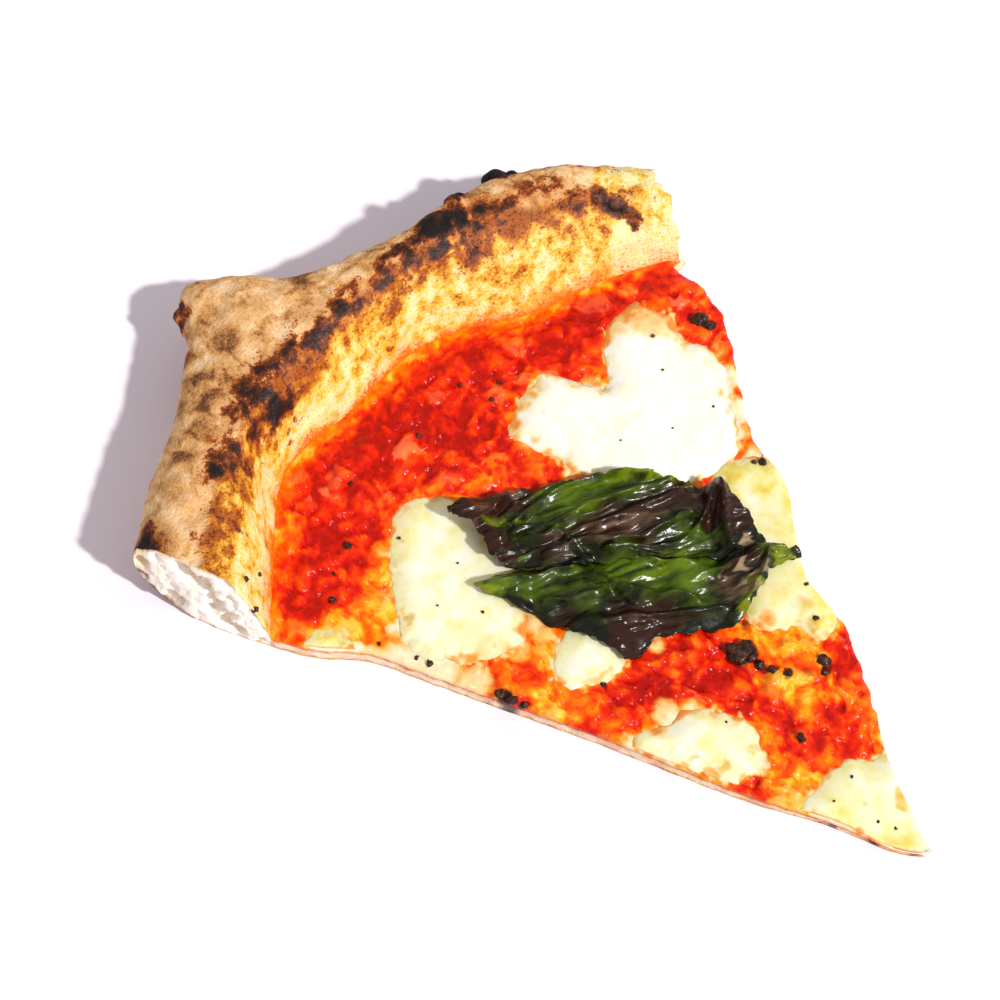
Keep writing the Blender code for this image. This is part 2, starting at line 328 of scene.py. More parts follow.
# %% [markdown]
# ## Baked dough: the finish
# The crust is wheat dough baked for ninety seconds at over 400 degrees. Where the flames reached it, on
# the crown, it is charred from red-brown to black; inwards it is golden and oily, and orange where sauce
# soaked in; outwards it is dry and matt, with raw flour baked on and brown freckles. The torn cuts show
# pale, open crumb. Starch and char are rough dielectrics, so the IOR stays near 1.5 and the roughness is
# high, and only oil makes the golden part shine a little. The masks say how far along its own scale of
# colours each finish is, and the noise adds the grain that the mesh is too coarse for.

# %% Material: wood-fired wheat dough


def baked_dough():
    """Flour, golden flank, orange stain, char and crumb with painted shade in its bubbles, each laid over the last
    where its mask is high.
    """
    material, tree, place = new_material("wood_fired_dough")
    mask = {n: add_node(tree, "ShaderNodeAttribute", attribute_name=n, get="Fac")
            for n in ("flour", "flank", "gold", "stain", "char", "crumb", "hollow_shade")}
    # Baked flour lies in grains and freckles of half a millimetre to a millimetre.
    grain = add_node(tree, "ShaderNodeTexNoise", {"Vector": place, "Scale": per_metre(1.0), "Detail": 3.0})
    speck = add_node(tree, "ShaderNodeTexNoise", {"Vector": place, "Scale": per_metre(0.5), "Detail": 2.0})
    both = add_node(tree, "ShaderNodeMath", {0: grain, 1: speck}, operation="ADD")
    fine = add_node(tree, "ShaderNodeMath", {0: both, 1: 0.75, 2: -0.75}, operation="MULTIPLY_ADD")
    tone = add_node(tree, "ShaderNodeMath", {0: fine, 1: 0.65, 2: mask["flour"]}, operation="MULTIPLY_ADD")
    floury = add_node(tree, "ShaderNodeValToRGB", {"Fac": tone}, stops=(
        (0.0, "#66401F"), (0.2, "#A87040"), (0.42, "#CC985C"), (0.62, "#DEB07C"), (0.95, "#F4D8B2")))
    tone = add_node(tree, "ShaderNodeMath", {0: mask["flank"], 1: fine}, operation="ADD")
    flank = add_node(tree, "ShaderNodeValToRGB", {"Fac": tone}, stops=(
        (0.0, "#7E3A0A"), (0.2, "#A8560F"), (0.38, "#C88420"), (0.54, "#D6A632"), (0.74, "#DCC05C"),
        (1.0, "#E4D8A4")))
    skin = add_node(tree, "ShaderNodeMix", {0: mask["gold"], 6: floury, 7: flank}, get=2, data_type="RGBA")
    soaked = add_node(tree, "ShaderNodeMapRange", {
        "Value": add_node(tree, "ShaderNodeMath", {0: mask["stain"], 1: fine}, operation="ADD"),
        "From Min": 0.2, "From Max": 0.75}, interpolation_type="SMOOTHSTEP")
    skin = add_node(tree, "ShaderNodeMix", {0: soaked, 6: skin, 7: colour("#D8640C")}, get=2, data_type="RGBA")
    heat = add_node(tree, "ShaderNodeMath", {0: fine, 1: 0.7, 2: mask["char"]}, operation="MULTIPLY_ADD")
    burnt = add_node(tree, "ShaderNodeValToRGB", {"Fac": heat}, stops=(
        (0.15, "#C0701E"), (0.34, "#9C4C16"), (0.5, "#683012"), (0.68, "#3C1C10"), (0.95, "#150F0E")))
    share = add_node(tree, "ShaderNodeMapRange", {"Value": heat, "From Min": 0.1, "From Max": 0.36},
                     interpolation_type="SMOOTHSTEP")
    skin = add_node(tree, "ShaderNodeMix", {0: share, 6: skin, 7: burnt}, get=2, data_type="RGBA")
    # The crumb is painted darker where its bubbles are deep: painted shade in the bubbles.
    tone = add_node(tree, "ShaderNodeMath", {0: fine, 1: 0.5, 2: mask["hollow_shade"]}, operation="MULTIPLY_ADD")
    crumb = add_node(tree, "ShaderNodeValToRGB", {"Fac": tone}, stops=(
        (0.0, "#FFF6E8"), (0.4, "#FAECD8"), (0.75, "#E6D0B6"), (1.0, "#C0A48C")))
    paint = add_node(tree, "ShaderNodeMix", {0: mask["crumb"], 6: skin, 7: crumb}, get=2, data_type="RGBA")
    relief = add_node(tree, "ShaderNodeBump", {"Height": both, "Distance": 0.22 * MM, "Strength": 0.8})
    rough = add_node(tree, "ShaderNodeMapRange", {"Value": mask["gold"], "To Min": 0.85, "To Max": 0.5})
    shader = add_node(tree, "ShaderNodeBsdfPrincipled", {
        "Base Color": paint, "Roughness": rough, "Normal": relief, "IOR": 1.48,
        "Specular IOR Level": 0.3,
        "Subsurface Weight": 0.1, "Subsurface Radius": (1.6, 0.9, 0.4), "Subsurface Scale": 1.0 * MM})
    return finish_material(material, shader)


dough_finish = baked_dough()
print("material:", dough_finish.name, len(dough_finish.node_tree.nodes), "nodes")

# %% [markdown]
# ## Baked dough: the form
# Under the toppings the dough is 3 mm thin. At its edge, where the baker left it unpressed, it puffs up
# to 22 mm. A section through it is the same everywhere but for its sizes: flat base, inner flank, crown,
# then a rounded outer side that curls back under to the table. So the rim is that section carried round
# the apex, with its foot, ridge, widest line and height as smooth curves of the angle. One spot was
# pulled out into a knob. The section's points are spread evenly by the distance walked along it, because
# even steps in radius would stretch the steep flank.

# %% Sections of the dough
BASE_AT_TIP, BASE_AT_RIM, BASE_GROWTH, BASE_WAVE = 1.2, 2.9, 60.0, 0.18
# (angle, radius) of the rim's inner foot, its ridge and its widest line, then its height.
RIM_FOOT = (
    (-26, 127.0), (-19, 134.5), (-13, 142.5), (-5, 142.0), (4, 143.5), (13, 137.5), (21, 138.5), (28, 138.5),
)
RIM_RIDGE = ((-26, 143.0), (-16, 149.0), (-8, 153.0), (1, 154.5), (10, 156.5), (19, 154.0), (28, 149.0))
RIM_WIDEST = (
    (-26, 155.5), (-19.5, 160.0), (-14, 165.5), (-10, 173.5), (-7, 182.5), (-4.8, 178.5), (-2.6, 170.0),
    (0, 165.5), (4, 162.5), (10.7, 162.5), (15.5, 163.5), (21, 159.5), (27.5, 153.5),
)
RIM_HEIGHT = ((-26, 22.0), (-16, 22.0), (-7, 21.0), (2, 21.5), (12, 21.5), (20, 19.5), (28, 16.0))
RIM_STEEPNESS = ((-26, 4.4), (-20, 3.2), (-12, 2.4), (10, 2.2), (27, 2.8))
WIDEST_HEIGHT = 14.0
OUTER_ROUNDNESS, UNDERCUT, UNDERCUT_ROUNDNESS = 2.3, 0.5, 2.0


def base_top(r, angle):
    """Top of the thin base, which thickens from the tip and is a little wavy."""
    thickness = BASE_AT_TIP + (BASE_AT_RIM - BASE_AT_TIP) * ease(r / BASE_GROWTH)
    return thickness + BASE_WAVE * np.sin(r / 11.0) * np.cos(np.radians(angle * 6.0) + 0.6)


def dough_top(r, angle):
    """Base, inner flank up to the ridge, then a superellipse down to the widest line."""
    foot, ridge = smooth_through(RIM_FOOT, angle), smooth_through(RIM_RIDGE, angle)
    widest, height = smooth_through(RIM_WIDEST, angle), smooth_through(RIM_HEIGHT, angle)
    base = base_top(r, angle)
    climb = np.clip((r - foot) / (ridge - foot), 0, 1)
    inner = base + (height - base) * (1 - (1 - climb) ** smooth_through(RIM_STEEPNESS, angle))
    reach = np.clip((r - ridge) / (widest - ridge), 0, 1)
    outer = WIDEST_HEIGHT + (height - WIDEST_HEIGHT) * np.sqrt(1 - reach ** OUTER_ROUNDNESS)
    return np.where(r > ridge, outer, inner)


def dough_under(r, angle):
    """Flat on the table, then curling up to the rim's widest line."""
    foot, widest = smooth_through(RIM_FOOT, angle), smooth_through(RIM_WIDEST, angle)
    lift_off = widest - UNDERCUT * (widest - foot)
    curl = np.clip((r - lift_off) / (widest - lift_off), 0, 1)
    return WIDEST_HEIGHT * (1 - np.sqrt(1 - curl ** UNDERCUT_ROUNDNESS))


def even_section(angle, height_of, count):
    """The rim's section for each angle, as radii, heights and distance walked from the foot.

    The section is first sampled finely, closer together at both ends, and then each column is read
    again at equal steps of the length walked.
    """
    share = (1 - np.cos(np.linspace(0, np.pi, 600)))[:, None] / 2
    foot, widest = smooth_through(RIM_FOOT, angle), smooth_through(RIM_WIDEST, angle)
    r = foot + (widest - foot) * share
    z = height_of(r, angle)
    step = np.hypot(np.diff(r, axis=0), np.diff(z, axis=0))
    walked = np.vstack([np.zeros(len(angle)), np.cumsum(step, 0)])
    wanted = walked[-1] * np.linspace(0, 1, count)[:, None]
    read = [[np.interp(wanted[:, c], walked[:, c], v[:, c]) for c in range(len(angle))] for v in (r, z)]
    return np.array(read[0]).T, np.array(read[1]).T, wanted


angles = np.array([-20.0, 0.0, 20.0])
print("rim height at", angles, "degrees:", dough_top(smooth_through(RIM_RIDGE, angles), angles).round(1), "mm")

# %% [markdown]
# ## Baked dough: blisters and scorches
# Steam lifts the crust into lumps and small blisters, and those catch the flame first. So the relief and
# the char belong together: the larger blisters are placed where the real crust has them, each a
# half-ellipsoid raised along the surface's normal. Char follows the crown as a ragged band, broken into
# clumps by noise, and the golden flank lies inside it.

# %% Where the crust is blistered, scorched and toasted
# Blisters as (x, y, z, radius, height), from the apex.
BLISTERS = (
    (-25.7, 177.6, 13.5, 2.6, 2.6), (-24.4, 174.5, 12.5, 2.0, 0.8), (44.0, 157.6, 15.5, 3.0, 2.6),
    (34.6, 158.6, 16.0, 2.0, 1.8), (47.0, 156.0, 15.5, 1.8, 1.2), (31.0, 155.5, 20.5, 2.4, 1.7),
    (-24.5, 145.6, 21.0, 2.6, 0.7), (-20.5, 145.9, 21.0, 2.0, 0.5), (24.0, 153.5, 21.0, 4.0, 0.6),
    (55.5, 138.0, 18.5, 2.4, 1.1), (57.5, 134.6, 17.5, 2.2, 1.1), (58.6, 131.8, 16.0, 1.8, 0.8),
    (53.0, 140.5, 19.0, 2.0, 0.6), (-1.0, 168.6, 14.5, 2.2, 0.8), (57.0, 151.0, 14.0, 3.0, 0.5),
)
# Scorched places as (x, y, radius, strength).
SCORCHES = (
    (-65.0, 137.5, 5.4, 1.0), (-61.5, 140.0, 3.6, 0.6), (-26.0, 145.8, 4.2, 0.9), (-22.0, 145.7, 3.0, 0.8),
    (-28.0, 150.5, 5.0, 0.7), (-17.0, 151.0, 5.0, 0.6), (-7.5, 151.2, 4.0, 0.6), (-2.5, 153.0, 3.0, 0.7),
    (17.0, 151.5, 5.0, 0.7), (24.0, 154.0, 6.0, 1.1), (28.5, 152.0, 5.0, 0.95), (34.0, 149.5, 5.5, 0.7),
    (31.5, 156.5, 3.8, 1.3), (44.0, 158.5, 5.0, 1.7), (34.6, 159.4, 3.4, 1.7), (48.0, 156.0, 3.4, 1.2),
    (49.0, 147.0, 4.5, 0.6), (50.5, 139.5, 4.0, 0.7), (55.5, 137.5, 3.6, 0.8), (57.8, 134.0, 3.4, 0.8),
    (58.6, 131.5, 2.8, 0.75), (-25.7, 178.6, 4.4, 1.6), (-24.5, 175.0, 2.6, 0.8), (-1.0, 169.5, 4.0, 1.1),
    (57.5, 152.0, 4.5, 0.7), (-31.0, 166.5, 2.6, 0.6), (44.0, 149.0, 4.0, 0.5), (-40.0, 141.5, 4.0, 0.45),
    (-44.5, 136.5, 3.0, 0.45), (-50.5, 132.5, 3.2, 0.5), (-49.0, 129.5, 2.2, 0.45), (-54.0, 125.0, 2.0, 0.4),
    (62.5, 141.0, 4.0, 0.25),
)
# Brown patches on the floury side.
TOASTED = (
    (-24.5, 162.2, 5.0, 0.8), (-41.0, 149.2, 4.4, 0.7), (-36.0, 153.6, 4.2, 0.6), (-30.5, 165.4, 3.4, 0.8),
    (-53.0, 143.0, 4.4, 0.4), (-19.0, 158.0, 3.4, 0.45), (-10.0, 157.0, 3.8, 0.4), (-15.5, 178.0, 3.0, 0.5),
    (-64.0, 136.0, 7.0, 0.6), (-3.0, 164.5, 4.0, 0.8), (-47.0, 146.5, 3.6, 0.4), (-34.0, 160.0, 3.6, 0.4),
    (61.0, 146.0, 4.6, 0.4), (14.0, 158.0, 3.4, 0.2), (-33.0, 158.5, 3.4, 0.4), (-22.0, 170.0, 4.0, 0.35),
    (-7.0, 161.0, 5.0, 0.4),
)
# The charred band: (angle, distance of its middle from the ridge), (angle, half width), (angle, strength).
CHAR_OFFSET = ((-27, -2.0), (-16, -2.0), (-8, -2.0), (1, -2.0), (8, -3.0), (15, -4.0), (27, -5.0))
CHAR_WIDTH = ((-27, 6.0), (-20, 8.0), (-10, 9.0), (0, 6.0), (8, 7.5), (15, 8.0), (22, 6.0), (27, 3.0))
CHAR_STRENGTH = (
    (-27, 0.18), (-22, 0.36), (-17, 0.5), (-8, 0.54), (0, 0.36), (9, 0.72), (15, 0.28), (22, 0.26), (27, 0.0),
)
UNSEEN = 60.0


def rim_relief(p, walked):
    """Millimetres along the normal: soft lumps, small bubbles and the blisters, none at the foot."""
    lumps = 0.55 * fractal(p, 11.0, 2, seed=3) + 0.32 * fractal(p, 3.6, 3, seed=5) - 0.45
    raised = np.zeros(p.shape[:-1])
    for x, y, z, radius, height in BLISTERS:
        far = np.linalg.norm(p - np.array([x, y, z]), axis=-1) / radius
        raised = np.maximum(raised, height * np.sqrt(np.clip(1 - far ** 2, 0, 1)))
    return ease(walked / 6.0) * lumps + raised


def rim_masks(p, angle, walked, at_ridge):
    """The crust's masks, from where a point lies on the section.

    inward is the distance along the surface from the middle of the charred band towards the sauce. The
    flank is palest a few millimetres above its foot and browner towards the band, in streaks.
    """
    inward = smooth_through(CHAR_OFFSET, angle) + at_ridge - walked
    width = smooth_through(CHAR_WIDTH, angle) * np.where(inward > 0, 1.0, 0.6)
    slow, clumps = fractal(p, 8.0, 3, seed=11), fractal(p, 3.4, 4, seed=15, keep=0.6)
    end = ease((angle - 19.0) / 5.0)
    band = np.exp(-((inward + 1.8 * slow) / width) ** 2) * smooth_through(CHAR_STRENGTH, angle)
    scorch = blob(p[..., 0] + 0.9 * slow, p[..., 1] + 0.9 * clumps, SCORCHES)
    char = np.maximum(band * (0.9 + 1.15 * clumps + 0.3 * slow), scorch * (0.92 + 0.6 * clumps)) - 0.04
    bubbly, patches = fractal(p, 2.4, 3, seed=21), fractal(p, 6.0, 2, seed=22)
    flank = 0.84 - 0.56 * ease((13.0 - inward) / 11.0) + 0.46 * bubbly + 0.34 * patches + 0.6 * end
    flank = flank - 0.16 * np.exp(-((angle - 11.0) / 6.0) ** 2)
    seep = np.maximum(3.0 + 2.4 * fractal(p, 7.0, 3, seed=23), 1.0)
    toast = blob(p[..., 0] + 1.2 * slow, p[..., 1] + 1.2 * clumps, TOASTED)
    mottle = 0.24 * fractal(p * np.array([1.0, 0.7, 1.0]), 7.0, 4, seed=14)
    wrinkles = 0.3 * ease((ridged(p * np.array([1.0, 0.6, 0.6]), 5.0, 3, seed=25) - 0.95) / 0.5)
    flour = 0.64 + mottle + 0.1 * clumps - 0.6 * toast - wrinkles
    return dict(char=np.clip(char, 0, 1.3), gold=ease((inward + 0.3 * width + 2.0 * slow + 16.0 * end) / 4.0),
                flank=np.clip(flank, 0, 1), stain=(1 - 0.45 * end) * np.exp(-walked / (seep * (1 + 0.8 * end))),
                flour=np.clip(flour, 0, 1))


# %% [markdown]
# ## Baked dough: one closed mesh
# The rim needs a grid finer than the hidden base under the sauce. The base has few columns and many rows,
# because its two cut edges show, and the rim has seven columns for each one of the base, joined by a fan
# of triangles. At the cuts the section is closed by a cap of its own grid, pushed in where the crumb has
# bubbles. All grids that meet share their border points, so welding the doubles closes the mesh.

# %% Halves of the dough
BASE_ROWS, RIM_ROWS, COARSE, FAN, CAP_STEPS = 150, 112, 38, 7, 26
MASKS = ("char", "gold", "flank", "stain", "flour", "crumb", "hollow_shade")
NOSE, NOSE_MIDDLE, SAUCE_FROM = 1.6, 0.45, 7.0
# The right end leans: its lower edge stands out and its top lies back, in mm and mm for each mm of height.
END_FROM, END_LEAN, END_TORN = 17.0, (2.2, -0.2), 1.3
fine_s = np.linspace(-1, 1, COARSE * FAN + 1)
coarse_s = fine_s[::FAN]


def ragged_cut(r, side):
    """Degrees that the torn crumb stands out from the smooth cut, more on the right."""
    p = np.stack([r, np.full_like(r, 40.0 * side), np.zeros_like(r)], -1)
    torn = 0.2 if side < 0 else 0.65
    return np.degrees(torn * fractal(p, 5.0, 4, seed=9) / np.maximum(r, 6.0))


def cut_share(r, s):
    """Angle of share s at radius r, between cuts with their torn edges."""
    left, right = cut_angle(r, -1) + ragged_cut(r, -1), cut_angle(r, 1) + ragged_cut(r, 1)
    return left + (right - left) * (s + 1) / 2


def base_grid(height_of):
    """The base from the tip to the rim's foot, its height rounded off over the nose at the tip."""
    foot = smooth_through(RIM_FOOT, coarse_s * HALF_ANGLE)
    r = TIP_RADIUS + (foot - TIP_RADIUS) * np.linspace(0, 0.993, BASE_ROWS)[:, None]
    nose = np.sqrt(1 - (1 - np.clip((r - TIP_RADIUS) / NOSE, 0, 1)) ** 2)
    z = NOSE_MIDDLE + (height_of(r, coarse_s * HALF_ANGLE) - NOSE_MIDDLE) * nose
    return np.stack([*from_apex(r, cut_share(r, coarse_s)), z], -1)


def rim_grid(height_of, side):
    """The rim's upper (+1) or under (-1) side with its relief and its masks."""
    angle = fine_s * HALF_ANGLE
    r, z, walked = even_section(angle, height_of, RIM_ROWS)
    p = np.stack([*from_apex(r, cut_share(r, fine_s)), z], -1)
    ridge = smooth_through(RIM_RIDGE, angle)
    at_ridge = np.array([np.interp(ridge[c], r[:, c], walked[:, c]) for c in range(len(angle))])
    seen = walked if side > 0 else walked * 0 + UNSEEN
    masks = rim_masks(p, np.broadcast_to(angle, r.shape), seen, at_ridge)
    relief = rim_relief(p, walked) * (1 if side > 0 else ease(z / 6.0))
    p = p + side * surface_normals(p) * relief[..., None]
    p[..., 2] = np.maximum(p[..., 2], 0)
    outwards = np.stack([np.cos(np.radians(angle)), -np.sin(np.radians(angle)), 0 * angle], -1)
    lean = (END_LEAN[0] + END_LEAN[1] * p[..., 2]) * ease((angle - END_FROM) / (HALF_ANGLE - END_FROM))
    lean = lean + END_TORN * fractal(p, 4.5, 3, seed=10) * ease((angle - HALF_ANGLE + 2.0) / 2.0)
    return p + outwards * lean[..., None], masks


top_base, low_base = base_grid(dough_top), base_grid(dough_under)
top_rim, top_masks = rim_grid(dough_top, 1)
low_rim, low_masks = rim_grid(dough_under, -1)
low_rim[-1] = top_rim[-1]
print("rim grid:", top_rim.shape[:2], "steps of", np.linalg.norm(np.diff(top_rim, axis=0), axis=-1).mean().round(2), "mm")

# %% [markdown]
# The crumb at a cut is a foam: thin walls round bubbles of 1 to 4 mm, larger in the middle of the rim than
# near its skin. Cell noise gives the bubbles as dents in the cap. The base is thin and dense, so it gets
# none, and sauce has run over its upper edge.
# The depth of each bubble also darkens the crumb's colour there, as painted shade.

# %% Cut faces of the dough
BUBBLE, SMALL_BUBBLE, BUBBLE_DEPTH = 4.2, 1.7, 2.2
# Scorched places on the cut faces as (x, y, radius, strength).
CUT_SCORCHES = (
    (-68.0, 137.5, 4.5, 0.9), (-1.4, 2.6, 1.8, 0.55), (-4.5, 9.5, 1.8, 0.8), (-7.8, 16.6, 1.4, 0.7),
    (-22.2, 43.0, 1.4, 0.6), (-33.2, 73.5, 2.8, 0.8), (-35.0, 77.0, 1.4, 0.4), (-15.0, 30.0, 1.2, 0.3),
    (-28.5, 60.0, 1.2, 0.35), (-44.5, 93.0, 1.4, 0.35), (31.0, 67.0, 2.0, 0.4), (11.5, 22.0, 1.5, 0.4),
)


def cut_cap(side):
    """Grid from the upper skin at a cut down to the under skin, dented by bubbles, with its masks."""
    column = 0 if side < 0 else -1
    upper = np.concatenate([top_base[:, column], top_rim[:, column]])[:, None]
    under = np.concatenate([low_base[:, column], low_rim[:, column]])[:, None]
    share = np.linspace(0, 1, CAP_STEPS + 1)
    p = upper + (under - upper) * share[:, None]
    depth = np.linalg.norm(under - upper, axis=-1)
    skin = np.minimum(share, 1 - share) * depth
    far, label = cells(p, BUBBLE, seed=41)
    bubbles = BUBBLE_DEPTH * ease((0.66 - far) / 0.34) * (label > 0.3)
    bubbles = bubbles + 0.4 * ease((0.5 - cells(p, SMALL_BUBBLE, seed=45)[0]) / 0.3)
    swell = ease(skin / 1.8) * ease((depth - 1.5) / 6.0)
    dent = (bubbles - 0.6) * swell + 0.22 * fractal(p, 2.4, 3, seed=47) * ease(skin / 0.6)
    angle = np.radians(to_polar(p[..., 0], p[..., 1])[1])
    outwards = side * np.stack([np.cos(angle), -np.sin(angle), 0 * angle], -1)
    zero = 0 * skin
    thin = ease((4.5 - depth) / 1.5)
    soft = 0.5 + 0.5 * noise(p, 4.0, 51)
    # The bubbles' depth goes into a mask that darkens the crumb: painted shade in the bubbles.
    masks = dict(
        char=0.9 * blob(p[..., 0], p[..., 1], CUT_SCORCHES) * ease((11.0 - np.abs(p[..., 2] - 3.0)) / 4.0),
        gold=zero + 1, flank=zero + 0.5 + 0.3 * noise(p, 2.5, 49), flour=zero + 0.5,
        stain=thin * np.maximum(0.8 * np.exp(-share * depth / 0.7), 0.6 * soft), hollow_shade=np.clip(dent / 2.0, 0, 1),
        crumb=ease((skin + 0.3 * noise(p, 1.5, 3) - 0.1) / 0.8) * (1 - blob(p[..., 0], p[..., 1], CUT_SCORCHES))
        * (1 - thin * (0.25 + 0.35 * soft)))
    return p - outwards * dent[..., None], masks


caps = {side: cut_cap(side) for side in (-1, 1)}
print("crumb: deepest bubble", round(max(m["hollow_shade"].max() for _, m in caps.values()) * 2.0, 1), "mm")

# %% Weld and build the dough


def fan(coarse, fine):
    """Triangles between a row of few vertices and a row of FAN times as many, as quads with a double."""
    j = np.arange(len(fine) - 1)
    near = np.where(j % FAN < FAN // 2, coarse[j // FAN], coarse[j // FAN + 1])
    middle = fine[np.arange(len(coarse) - 1) * FAN + FAN // 2]
    narrow = np.stack([near, fine[1:], fine[:-1], near], -1)
    wide = np.stack([coarse[:-1], coarse[1:], middle, coarse[:-1]], -1)
    return np.concatenate([narrow, wide])


def build_dough():
    """All six grids and two fans as one closed mesh."""
    grids = [top_base, top_rim, low_base, low_rim, caps[-1][0], caps[1][0]]
    far = ease((np.hypot(top_base[..., 0], top_base[..., 1]) - SAUCE_FROM) / 4.0)
    values = [dict(stain=far, crumb=1 - far), top_masks, {}, low_masks, caps[-1][1], caps[1][1]]
    starts = np.cumsum([0] + [g[..., 0].size for g in grids])
    index = [start + np.arange(g[..., 0].size).reshape(g.shape[:2]) for start, g in zip(starts, grids)]
    facing = (1, 1, -1, -1, -1, 1)
    quads = [grid_quads(i) if f > 0 else grid_quads(i)[:, ::-1] for i, f in zip(index, facing)]
    quads += [fan(index[0][-1], index[1][0]), fan(index[2][-1], index[3][0])[:, ::-1]]
    masks = {n: np.concatenate([np.broadcast_to(v.get(n, 0.0), g.shape[:2]).ravel() for v, g in zip(values, grids)])
             for n in MASKS}
    points = np.concatenate([g.reshape(-1, 3) for g in grids])
    points, quads, masks = weld(points, np.concatenate(quads), masks)
    return make_piece("crust_and_base", points, without_doubles(quads), dough_finish, ["dough"], masks)


crust = build_dough()

# %% [markdown]
# ## Where the cheese lies
# The mozzarella went on in torn lumps and melted into pools. The sauce has to know where they are,
# because their milk and fat turn it orange, so the pools' outlines come first. An outline is a smooth
# radius round the pool's middle, as a function of the direction.

# %% Outlines of the pools
GAP = 0.3
SAUCE_START, SAUCE_THIN, SAUCE_THICK, SAUCE_SHORE = 7.0, 0.45, 1.2, 9.0
# (middle, height above the sauce, points round the edge)
MOZZARELLA = {
    "mozzarella_large": ((31, 101), 1.3, (
        (9, 115), (13, 118.5), (19, 120.5), (24.2, 119), (27.4, 112.6), (29.8, 110.6), (32.4, 112.6),
        (36, 117.5), (42, 120.2), (48.5, 119), (51, 114), (48.6, 107), (50.5, 100.5), (47, 94), (42.5, 88),
        (38, 83), (31, 81.5), (23, 85), (16, 92), (12.2, 100), (10.2, 107.5))),
    "mozzarella_left": ((-26, 99), 1.1, (
        (-27.5, 111.5), (-23, 116), (-18, 117.6), (-13, 115.5), (-10, 109), (-11, 100), (-13, 92), (-16.5, 86.5),
        (-20, 83), (-25, 81.6), (-31, 84), (-35, 87.5), (-38, 92), (-37.4, 98), (-32.5, 105))),
    "mozzarella_small": ((-16, 70), 0.9, (
        (-23.5, 71), (-20.5, 74.5), (-15, 76.5), (-10.5, 75.5), (-9, 70), (-10.6, 65.6), (-15, 64), (-20.5, 65.8))),
    "mozzarella_low": ((-14, 42.5), 1.1, (
        (-22, 52), (-18, 51), (-12, 49.8), (-7.5, 46), (-5, 40.5), (-5.6, 37), (-9.5, 33.4), (-13, 33.6),
        (-16.5, 36.5), (-19.5, 42), (-21.6, 47))),
    "mozzarella_tip": ((1.4, 12), 0.9, (
        (-9.4, 22), (-4, 22.8), (3, 22.2), (6.5, 19.6), (10.5, 19.5), (12, 15), (9, 9), (5, 1), (-0.5, -1.5),
        (-3.4, 4), (-6, 12))),
    "mozzarella_right": ((27, 62), 1.1, (
        (31, 81), (37, 79.5), (43, 74), (40, 66), (34, 58), (28, 50), (24.5, 43.5), (20.5, 42.2), (17.4, 44),
        (16.4, 48), (13.4, 50.4), (12, 54), (15, 62), (23, 75))),
    "mozzarella_drip": ((-50, 104.5), 0.8, (
        (-53.5, 108), (-50, 108.6), (-46.4, 107), (-46, 102.5), (-49, 100.4), (-54, 102.5))),
}


def edge_radius(name, turn):
    """Distance from a pool's middle to its edge, in the direction turn."""
    middle, _, edge = MOZZARELLA[name]
    dx, dy = (np.array(edge, float) - middle).T
    angle = np.arctan2(dy, dx)
    order = np.argsort(angle)
    angle, radius = angle[order], np.hypot(dx, dy)[order]
    lap = 2 * np.pi
    angles = np.concatenate([angle - lap, angle, angle + lap])
    return smooth_through(np.stack([angles, np.tile(radius, 3)], 1), turn)


def outside_cheese(x, y):
    """Millimetres from the nearest pool's edge, below 0 inside a pool."""
    nearest = np.full(np.shape(x), 99.0)
    for name, (middle, _, _) in MOZZARELLA.items():
        dx, dy = x - middle[0], y - middle[1]
        nearest = np.minimum(nearest, np.hypot(dx, dy) - edge_radius(name, np.arctan2(dy, dx)))
    return nearest


def sauce_level(x, y):
    """Mean top of the sauce: thin at its two shores, near the tip and at the rim's foot."""
    r, angle = to_polar(x, y)
    shore = smooth_through(RIM_FOOT, angle) - r
    cover = ease((r - SAUCE_START) / SAUCE_SHORE) * ease(shore / SAUCE_SHORE)
    return base_top(r, angle) + GAP + SAUCE_THIN + (SAUCE_THICK - SAUCE_THIN) * cover


print("pools:", ", ".join(MOZZARELLA))
